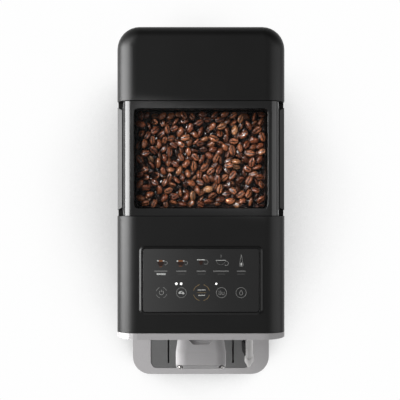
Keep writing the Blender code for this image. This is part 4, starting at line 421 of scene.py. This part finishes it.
def softened(node, edge, segments=2):
    """The CAD node with its sharp edges rounded by edge, as a moulded or pressed piece has them.
    An edge of 0 leaves them sharp, as on turned and hidden pieces."""
    slot = slot_of[node]
    angle = math.radians(FACET_ANGLE if node == "spout_body" else EDGE_ANGLE)
    shape = merged(node)
    if node == "front_bezel":
        round_front(shape)
    finish = POLISHED_STEEL if "spout_nozzle" in node else FINISH[slot]
    made = piece(node + "_finished", shape, finish, body_of[node])
    if edge:
        rounding = made.modifiers.new("rounded_edges", "BEVEL")
        rounding.width = edge
        rounding.segments = segments
        rounding.limit_method = "WEIGHT" if node == "front_bezel" else "ANGLE"
        rounding.angle_limit = angle
        rounding.use_clamp_overlap = True
    else:
        made.data.set_sharp_from_angle(angle=angle)
    even = made.modifiers.new("even_shading", "WEIGHTED_NORMAL")
    even.keep_sharp = True
    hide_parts(node)


RIM_WIDTH = 24 * MM
RIM_HEIGHT = 30 * MM
RIM_DEPTH = 4 * MM
SLIGHT_ROUNDING = 0.25
# The spout's facets meet at shallow angles, and still have rounded edges.
FACET_ANGLE = 14
EDGE_ANGLE = 28
EDGES = {
    0.5 * MM: ("tank_lid", "front_cover", "base_pan", "hopper_lid", "drip_tray", "spout_body",
               "grounds_container", "wand_socket", "power_switch"),
    2.2 * MM: ("front_bezel",),
    0.35 * MM: ("side_panel_left", "side_panel_right", "service_door", "rear_panel", "front_panel",
                "hopper_deck", "drip_grid", "grounds_front", "power_inlet", "touch_panel", "bean_hopper"),
    0.3 * MM: ("spout_column", "wand_nozzle", "wand_grip", "water_tank",
               "foot_front_left", "foot_front_right", "foot_rear_left", "foot_rear_right", "drip_float"),
    0: ("spout_nozzle_left", "spout_nozzle_right", "wand_ball", "wand_tube", "lid_window", "lid_seal",
        "tank_valve", "tank_socket", "tank_bulkhead", "grinder_housing", "upper_burr", "lower_burr",
        "burr_gear", "motor_pinion", "grinder_motor", "motor_bracket", "grinder_chute", "brew_frame",
        "brew_chamber", "brew_piston", "water_heater", "water_pump", "water_tube", "heater_tube", "brew_tube",
        "steam_tube", "control_board", "power_board"),
}
for edge, nodes in EDGES.items():
    for node in nodes:
        softened(node, edge)


# ---------------------------------------------------------------- coffee beans

BEAN = Vector((5.3, 3.8, 2.7)) * MM     # half its length, width and height
BEAN_SIZES = (0.86, 1.1)
FACE_UP = 0.62                          # share of beans that lie crease up, and then of those up or down
FACE_UP_OR_DOWN = 0.88
PILE_DEPTH = 17 * MM
PILE_RISE = 0.6 * MM
PILE_CORNER = 5 * MM
CELL = 0.8 * MM
WALL = 1.0                              # height of the hopper's walls on the height map, above any pile
COVER_CELLS = 4
GAP_START = 1.8 * MM
GAP_DEPTH = 5.5 * MM
TRIES = 50
BEAN_LIMIT = 1000


def bean_shape():
    """One coffee bean of radius 1, long along X: domed below, flatter above with a deep crease."""
    shape = bmesh.new()
    bmesh.ops.create_uvsphere(shape, u_segments=8, v_segments=7, radius=1)
    bmesh.ops.rotate(shape, verts=shape.verts, matrix=Matrix.Rotation(QUARTER, 3, "Y"))
    crease = shape.verts.layers.float.new("crease")
    # Where each row of points round the bean goes, in degrees from the crease: the rows close up on it.
    pulled = {0: 0, 45: 15, 90: 72, 135: 128, 180: 180}
    for vert in shape.verts:
        round_it = math.hypot(vert.co.y, vert.co.z)
        if round_it < 0.01:
            continue
        turn = round(math.degrees(math.atan2(vert.co.y, vert.co.z)))
        new = math.radians(math.copysign(pulled[min(pulled, key=lambda a: abs(a - abs(turn)))], turn))
        vert.co.y = round_it * math.sin(new)
        vert.co.z = round_it * math.cos(new)
        if vert.co.z > 0:
            vert.co.z *= 0.62
        if new == 0:
            vert.co.z -= 0.34 * round_it
            vert[crease] = 1.0
    mesh = bpy.data.meshes.new("bean_pattern")
    shape.to_mesh(mesh)
    shape.free()
    return mesh


def pour(low, high):
    """Lets beans fall one by one on a height map of the pile, each where it comes to lie lowest of a few
    tries. Gives each bean's matrix, and a function for how far above a point the beans round it stand."""
    chance = random.Random(7)
    columns = int((high.x - low.x) / CELL)
    rows = int((high.y - low.y) / CELL)
    x = low.x + (numpy.arange(columns) + 0.5) * CELL
    y = low.y + (numpy.arange(rows) + 0.5) * CELL
    floor = high.z - PILE_DEPTH
    pile = numpy.full((columns, rows), floor)
    rim = int(max(BEAN) * BEAN_SIZES[1] / CELL) + 2
    beyond_x = numpy.maximum(0, numpy.abs(x - (low.x + high.x) / 2) - (high.x - low.x) / 2 + PILE_CORNER)
    beyond_y = numpy.maximum(0, numpy.abs(y - (low.y + high.y) / 2) - (high.y - low.y) / 2 + PILE_CORNER)
    pile[numpy.hypot(beyond_x[:, None], beyond_y[None, :]) > PILE_CORNER] = WALL
    pile = numpy.pad(pile, rim, constant_values=WALL)
    placed = []
    for _ in range(BEAN_LIMIT):
        size = BEAN * chance.uniform(*BEAN_SIZES)
        lie = chance.random()
        side = 0 if lie < FACE_UP else math.pi if lie < FACE_UP_OR_DOWN else QUARTER
        roll = chance.gauss(0, 0.35) + side
        turn = Euler((roll, chance.gauss(0, 0.28), chance.uniform(0, math.tau)), "XYZ").to_matrix()
        form = turn @ Matrix.Diagonal(size)
        metric = numpy.linalg.inv(numpy.array(form @ form.transposed()))
        reach = int(max(size) / CELL) + 1
        step = numpy.arange(-reach, reach + 1) * CELL
        dx, dy = step[:, None], step[None, :]
        # The bean's lower and upper surface over each cell. Cells beyond its outline count for nothing.
        slope = metric[0, 2] * dx + metric[1, 2] * dy
        level = metric[0, 0] * dx ** 2 + 2 * metric[0, 1] * dx * dy + metric[1, 1] * dy ** 2 - 1
        room = slope ** 2 - metric[2, 2] * level
        inside = room > 0
        half = numpy.sqrt(numpy.where(inside, room, 0)) / metric[2, 2]
        under = numpy.where(inside, -slope / metric[2, 2] - half, 1.0)
        over = numpy.where(inside, -slope / metric[2, 2] + half, -1.0)
        best = None
        for _ in range(TRIES):
            i = rim + chance.randrange(columns)
            j = rim + chance.randrange(rows)
            window = pile[i - reach:i + reach + 1, j - reach:j + reach + 1]
            rest = float((window - under).max())
            if best is None or rest < best[0]:
                best = (rest, i, j)
        rest, i, j = best
        if rest + float(over.max()) > high.z + PILE_RISE:
            continue
        window = pile[i - reach:i + reach + 1, j - reach:j + reach + 1]
        numpy.maximum(window, numpy.where(inside, rest + over, -1.0), out=window)
        placed.append(Matrix.Translation((x[i - rim], y[j - rim], rest)) @ form.to_4x4())

    tops = numpy.where(pile == WALL, floor, pile)
    for axis in (0, 1):
        tops = numpy.max([
            numpy.roll(tops, step, axis) for step in range(-COVER_CELLS, COVER_CELLS + 1)
        ], axis=0)

    def cover(point):
        i = rim + min(columns - 1, max(0, int((point.x - low.x) / CELL)))
        j = rim + min(rows - 1, max(0, int((point.y - low.y) / CELL)))
        return float(tops[i, j]) - point.z

    return placed, cover


def pour_beans():
    """The loose beans that show through the window, each with its own roasting, darkened with depth and
    between the beans as painted shade.
    """
    low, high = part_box("bean_fill")
    chance = random.Random(21)
    pattern_mesh = bean_shape()
    heap = bmesh.new()
    tone = heap.verts.layers.float.new("tone")
    gap = heap.verts.layers.float.new("gap")
    heap.verts.layers.float.new("crease")
    count = len(pattern_mesh.vertices)
    placed, cover = pour(low, high)
    for place in placed:
        heap.from_mesh(pattern_mesh)
        heap.verts.ensure_lookup_table()
        fresh = heap.verts[-count:]
        bmesh.ops.transform(heap, matrix=place, verts=fresh)
        # The deeper a bean lies, the darker it is, as less of the light reaches it.
        depth = (high.z - place.translation.z) / PILE_DEPTH
        roast_and_depth_shade = min(1.0, max(0.0, chance.gauss(0.58, 0.22) - 0.3 * depth))
        for vert in fresh:
            vert[tone] = roast_and_depth_shade
            # Painted shade: points lying low between the beans get a gap value that darkens their colour.
            vert[gap] = min(1.0, max(0.0, (cover(vert.co) - GAP_START) / GAP_DEPTH))
    beans = piece("roasted_beans", heap, FINISH["bean"], "machine")
    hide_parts("bean_fill")


def bed_under_beans():
    """The deeper beans, which the upper ones hide: a rough bed inside the hopper in the beans' darkest tone,
    dark as painted shade deep in the pile.
    """
    bed = merged("bean_fill")
    low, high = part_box("bean_fill")
    cut = (0, 0, high.z - PILE_DEPTH)
    whole = bed.verts[:] + bed.edges[:] + bed.faces[:]
    bmesh.ops.bisect_plane(bed, geom=whole, plane_co=cut, plane_no=UP, clear_outer=True)
    bmesh.ops.holes_fill(bed, edges=[edge for edge in bed.edges if edge.is_boundary], sides=0)
    bmesh.ops.recalc_face_normals(bed, faces=bed.faces)
    piece("bean_bed", bed, FINISH["bean"], "machine", smooth=False)


pour_beans()
bed_under_beans()


# ---------------------------------------------------------------- symbols of the touch panel

PRINT_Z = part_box("touch_panel")[1].z + 0.01 * MM
PRINT_THICKNESS = 0.04 * MM
COLUMNS = tuple(x * MM for x in (-41.3, -20.5, 0.6, 21.4, 42.0))
CUP_Y = -42.0 * MM
LABEL_Y = -53.9 * MM
MARK_Y = -57.0 * MM
LIGHT_Y = -67.1 * MM
BUTTON_Y = -76.4 * MM


def bar(ink, x, y, width, height, turn=0.0):
    """A straight bar, turned anticlockwise by turn."""
    place = Matrix.Translation((x, y, PRINT_Z)) @ Matrix.Rotation(turn, 4, "Z")
    bmesh.ops.create_grid(ink, x_segments=1, y_segments=1, size=0.5,
                          matrix=place @ Matrix.Diagonal((width, height, 1, 1)))


def dot(ink, x, y, radius, flatten=1.0, turn=0.0):
    """A filled circle, or an oval where flatten isn't 1."""
    place = Matrix.Translation((x, y, PRINT_Z)) @ Matrix.Rotation(turn, 4, "Z")
    bmesh.ops.create_circle(ink, cap_ends=True, segments=28, radius=radius,
                            matrix=place @ Matrix.Diagonal((1, flatten, 1, 1)))


def arc_line(ink, x, y, radius, line, start, end):
    """Part of a ring of this line width, from start to end in degrees, anticlockwise from +X."""
    a = math.radians(start)
    ray = Vector((math.cos(a), math.sin(a), 0))
    centre = Vector((x, y, PRINT_Z))
    ends = [ink.verts.new(centre + ray * (radius + side * line / 2)) for side in (-1, 1)]
    edge = ink.edges.new(ends)
    whole = end - start >= 360
    bmesh.ops.spin(ink, geom=[*ends, edge], cent=centre, axis=UP, angle=math.radians(end - start),
                   steps=max(4, int((end - start) / 9)), use_merge=whole)


def bowl(ink, x, y, width, height):
    """The lower half of a flat oval, as a cup is drawn from the side."""
    made = bmesh.ops.create_circle(ink, cap_ends=True, segments=32, radius=width / 2, matrix=(
        Matrix.Translation((x, y, PRINT_Z)) @ Matrix.Diagonal((1, 2 * height / width, 1, 1))))
    verts = set(made["verts"])
    faces = [face for face in ink.faces if set(face.verts) <= verts]
    edges = {edge for face in faces for edge in face.edges}
    bmesh.ops.bisect_plane(ink, geom=[*verts, *edges, *faces], plane_co=(x, y, PRINT_Z), plane_no=(0, 1, 0),
                           clear_outer=True)


def print_symbols(name, ink, finish):
    """Gives the flat symbols their small thickness and lays them on the glass."""
    bmesh.ops.recalc_face_normals(ink, faces=ink.faces)
    for face in ink.faces:
        if face.normal.z > 0:
            face.normal_flip()
    raised = bmesh.ops.extrude_face_region(ink, geom=ink.faces[:])["geom"]
    bmesh.ops.translate(ink, vec=(0, 0, PRINT_THICKNESS),
                        verts=[item for item in raised if isinstance(item, bmesh.types.BMVert)])
    bmesh.ops.recalc_face_normals(ink, faces=ink.faces)
    piece(name, ink, finish, "machine", smooth=False)


def draw_panel():
    """Draws the panel's symbols in flat inks: drinks in the upper row, keys in the lower one."""
    pale, soft, label, faint, white, crema, gold, coffee = (bmesh.new() for _ in range(8))
    thin = 0.4 * MM
    line = 0.45 * MM

    # Two cups with crema between two glints of light, and a third with a pale line of milk
    for x, width, deep, waist in ((-42.1, 7.4, 3.4, 3.7), (-21.3, 8.2, 2.7, 5.4)):
        x, width, deep, waist = (size * MM for size in (x, width, deep, waist))
        bar(crema, x, CUP_Y - 1.2 * MM, width * 0.6, 1.9 * MM)
        bowl(coffee, x, CUP_Y - 2.3 * MM, width * 0.86, deep + 1.2 * MM)
        bar(crema, x, CUP_Y - deep - 3.9 * MM, waist * 0.7, 0.5 * MM)
        dot(soft, x - width * 0.4, CUP_Y - 1.2 * MM, 1.0 * MM, 0.8)
        dot(soft, x + width * 0.4, CUP_Y - 1.2 * MM, 0.9 * MM, 0.8)
        arc_line(pale, x + width / 2 + 1.4 * MM, CUP_Y - 3.4 * MM, 1.8 * MM, thin, -120, 130)
    bar(soft, -0.1 * MM, CUP_Y, 8.0 * MM, 1.1 * MM)
    bowl(coffee, 0, CUP_Y - 0.8 * MM, 4.4 * MM, 4.8 * MM)
    arc_line(pale, 5.0 * MM, CUP_Y - 2.5 * MM, 2.3 * MM, thin, -130, 120)
    # Cup of hot water in outline, with its steam
    x = 20.8 * MM
    bar(soft, x, CUP_Y - 0.6 * MM, 10.6 * MM, 0.6 * MM)
    arc_line(label, x, CUP_Y - 0.6 * MM, 4.7 * MM, thin, 184, 356)
    arc_line(pale, 26.4 * MM, CUP_Y - 3.8 * MM, 2.3 * MM, thin, -130, 120)
    bar(pale, 21.0 * MM, CUP_Y + 3.8 * MM, thin, 3.4 * MM)
    # Steam, drawn as a plume that widens downwards round a bright core
    x = 42.2 * MM
    arc_line(pale, x, CUP_Y - 5.0 * MM, 2.0 * MM, thin, 150, 390)
    for side in (-1, 1):
        bar(pale, x + side * 0.9 * MM, CUP_Y + 0.6 * MM, thin, 9.6 * MM, side * 0.17)
    dot(soft, x, CUP_Y - 4.7 * MM, 0.9 * MM, 1.9)

    # Plain bars in place of labels, and the marks under them, the first one lit
    for x, width in ((-41.9, 13.6), (-20.5, 10.6), (0.3, 9.6), (21.0, 16.2), (42.2, 9.2)):
        bar(label, x * MM, LABEL_Y, width * MM, 1.3 * MM)
    bar(soft, -41.7 * MM, MARK_Y, 9.4 * MM, 1.8 * MM)
    for x in COLUMNS[1:]:
        bar(faint, x, MARK_Y, 8.2 * MM, 0.9 * MM)

    # Lit dots for strength and size
    for x, radius in ((-25.8, 1.35), (-20.7, 1.35), (16.0, 1.15)):
        dot(white, x * MM, LIGHT_Y, radius * MM)

    # Power, in a broken ring
    x = COLUMNS[0]
    for start in (22, 112, 202, 292):
        arc_line(pale, x, BUTTON_Y, 5.7 * MM, line, start, start + 52)
    arc_line(pale, x, BUTTON_Y, 2.2 * MM, 0.6 * MM, 125, 415)
    bar(pale, x, BUTTON_Y + 1.9 * MM, 0.6 * MM, 2.3 * MM)
    # Strength, a ring with two beans
    x = COLUMNS[1]
    arc_line(pale, x, BUTTON_Y, 5.2 * MM, thin, 0, 360)
    dot(soft, x - 0.9 * MM, BUTTON_Y + 0.3 * MM, 2.2 * MM, 0.62, 0.5)
    dot(soft, x + 1.3 * MM, BUTTON_Y - 0.4 * MM, 2.0 * MM, 0.6, -0.35)
    # Start and stop, the large ring
    x = COLUMNS[2]
    for start in (14, 104, 194, 284):
        arc_line(gold, x, BUTTON_Y, 8.5 * MM, 0.5 * MM, start, start + 62)
    bar(soft, x, BUTTON_Y + 2.8 * MM, 8.2 * MM, 0.9 * MM)
    bar(gold, x, BUTTON_Y, 9.0 * MM, 0.35 * MM)
    bar(soft, x, BUTTON_Y - 2.8 * MM, 7.0 * MM, 0.9 * MM)
    # Size, a ring with two glasses
    x = COLUMNS[3]
    arc_line(pale, x, BUTTON_Y, 5.3 * MM, thin, 0, 360)
    for side, tall in ((-2.5, 4.0), (-0.6, 4.0), (0.6, 2.9), (2.9, 2.9)):
        bar(pale, x + side * MM, BUTTON_Y + (tall / 2 - 2.0) * MM, line, tall * MM)
    bar(pale, x - 1.55 * MM, BUTTON_Y - 2.0 * MM, 2.1 * MM, line)
    bar(pale, x + 1.75 * MM, BUTTON_Y - 2.0 * MM, 2.5 * MM, line)
    # Cleaning, a ring with a drop
    x = COLUMNS[4]
    arc_line(pale, x, BUTTON_Y, 5.3 * MM, thin, 0, 360)
    arc_line(pale, x, BUTTON_Y - 0.7 * MM, 1.7 * MM, line, 150, 390)
    for side in (-1, 1):
        bar(pale, x + side * 0.8 * MM, BUTTON_Y + 1.4 * MM, line, 2.9 * MM, side * 0.45)

    for name, ink, finish in (
        ("pale_symbols", pale, PALE_INK), ("soft_symbols", soft, SOFT_INK), ("label_bars", label, LABEL_INK),
        ("faint_marks", faint, FAINT_INK), ("lit_symbols", white, WHITE_INK),
        ("crema_symbols", crema, CREMA_INK), ("golden_ring", gold, GOLD_INK),
        ("coffee_symbols", coffee, COFFEE_INK),
    ):
        print_symbols(name, ink, finish)


draw_panel()


# ---------------------------------------------------------------- floor, lamps and camera

CAMERA_PLACE = (-1.0 * MM, 20.5 * MM, 1.537)
CAMERA_LENS = 103.3
TOP = cad_box[1].z - 2 * MM
BEAM_TILT = math.radians(22)
BEAM_LENGTH = 1.4
BEAM_MARGIN = 14 * MM
BEAM_POWER = 0.05
WHITE_REACH = (0.29, 0.9)


def lay_floor():
    """A plain pale floor. Seen directly or in a reflection it is white round the machine, darker close to it
    in a painted shadow drawn from ambient occlusion, and fades to light grey where the studio's light ends, a
    painted falloff."""
    shape = bmesh.new()
    bmesh.ops.create_grid(shape, x_segments=1, y_segments=1, size=6)
    mesh = bpy.data.meshes.new("floor")
    shape.to_mesh(mesh)
    shape.free()
    floor = bpy.data.objects.new("floor", mesh)
    bpy.context.scene.collection.objects.link(floor)
    made = bpy.data.materials.new("white_paper_floor")
    made.use_nodes = True
    tree = made.node_tree
    tree.nodes.remove(tree.nodes["Principled BSDF"])
    near = add(tree, "AmbientOcclusion", {"Distance": 0.3}, samples=16)
    # Painted shadow: ambient occlusion darkens the floor's white close to the machine.
    shade = ramp(tree, near.outputs["AO"], (
        (0.5, "#c8c8c8"), (0.58, "#d4d4d4"), (0.64, "#eaeaea"), (0.72, "#fbfbfb"), (0.82, "#fefefe"),
    ))
    around = add(tree, "VectorMath", {0: add(tree, "TexCoord").outputs["Object"]}, operation="ABSOLUTE")
    axes = add(tree, "SeparateXYZ", {"Vector": around.outputs["Vector"]})
    spot = add(tree, "Math", {0: axes.outputs["X"], 1: axes.outputs["Y"]}, operation="MAXIMUM")
    away = add(tree, "MapRange", {
        "Value": spot.outputs["Value"], "From Min": WHITE_REACH[0], "From Max": WHITE_REACH[1],
    })
    # Painted falloff: the white fades to grey away from the machine, where the studio's light ends.
    fade = ramp(tree, away.outputs["Result"], (
        (0.0, "#ffffff"), (0.3, "#a8a8a8"), (0.6, "#8c8c8c"), (1.0, "#808080"),
    ))
    both = add(tree, "Mix", {"Factor": 1.0, "A": shade, "B": fade}, data_type="RGBA", blend_type="MULTIPLY")
    seen = add(tree, "Emission", {"Color": both.outputs["Result"], "Strength": 1.0})
    paper = add(tree, "BsdfDiffuse", {"Color": linear("#e6e6e6")})
    ray = add(tree, "LightPath")
    direct = ray.outputs["Is Camera Ray"]
    for other in ("Is Glossy Ray", "Is Transmission Ray"):
        direct = add(tree, "Math", {0: direct, 1: ray.outputs[other]}, operation="MAXIMUM").outputs["Value"]
    mixed = add(tree, "MixShader", {0: direct, 1: paper.outputs["BSDF"], 2: seen.outputs["Emission"]})
    tree.links.new(mixed.outputs["Shader"], tree.nodes["Material Output"].inputs["Surface"])
    mesh.materials.append(made)


def light_world():
    """A grey studio: a pale ceiling over dark walls."""
    world = bpy.data.worlds.new("studio_walls")
    bpy.context.scene.world = world
    world.use_nodes = True
    tree = world.node_tree
    height = add(tree, "SeparateXYZ", {"Vector": add(tree, "TexCoord").outputs["Generated"]})
    walls = ramp(tree, height.outputs["Z"], (
        (0.0, "#383838"), (0.45, "#3c3c3c"), (0.75, "#787878"), (1.0, "#888888"),
    ))
    tree.links.new(walls, tree.nodes["Background"].inputs["Color"])


def soft_lamp(name, place, aim, size, radiance):
    """A rectangular soft box of this radiance, where 1 is as bright as white paper."""
    lamp = bpy.data.lights.new(name, "AREA")
    lamp.shape = "RECTANGLE"
    lamp.size, lamp.size_y = size
    lamp.energy = radiance * math.pi * size[0] * size[1]
    holder = bpy.data.objects.new(name, lamp)
    bpy.context.scene.collection.objects.link(holder)
    holder.location = place
    holder.rotation_euler = (Vector(aim) - Vector(place)).to_track_quat("-Z", "Z").to_euler()


def window_beam():
    """A narrow beam from high up through the hopper's window, as the soft boxes stand too low for their light
    to reach the beans."""
    low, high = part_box("lid_window")
    aim = (low + high) / 2
    lamp = bpy.data.lights.new("window_beam", "AREA")
    lamp.shape = "RECTANGLE"
    lamp.size = high.x - low.x - BEAM_MARGIN
    lamp.size_y = high.y - low.y - BEAM_MARGIN
    lamp.spread = math.radians(1)
    lamp.energy = BEAM_POWER
    holder = bpy.data.objects.new("window_beam", lamp)
    bpy.context.scene.collection.objects.link(holder)
    turn = Euler((-BEAM_TILT, -BEAM_TILT * 0.7, 0), "XYZ")
    holder.rotation_euler = turn
    holder.location = aim + turn.to_matrix() @ Vector((0, 0, BEAM_LENGTH))


def place_camera():
    """Straight above the machine, a little behind its middle, as the photograph was taken."""
    camera = bpy.data.cameras.new("camera")
    camera.sensor_width = 36
    camera.lens = CAMERA_LENS
    holder = bpy.data.objects.new("camera", camera)
    bpy.context.scene.collection.objects.link(holder)
    holder.location = CAMERA_PLACE
    bpy.context.scene.camera = holder


lay_floor()
light_world()
soft_lamp("left_soft_box", (-1.2, 0.12, 0.6), (0, 0.12, TOP), (1.4, 0.84), 11.0)
soft_lamp("right_reflector", (1.25, 0.0, 0.74), (0, 0, TOP), (1.5, 1.0), 1.25)
soft_lamp("front_soft_box", (0.0, -1.4, 0.75), (0, 0, TOP), (1.2, 0.5), 1.2)
window_beam()
place_camera()
bpy.context.scene.view_settings.view_transform = "Standard"
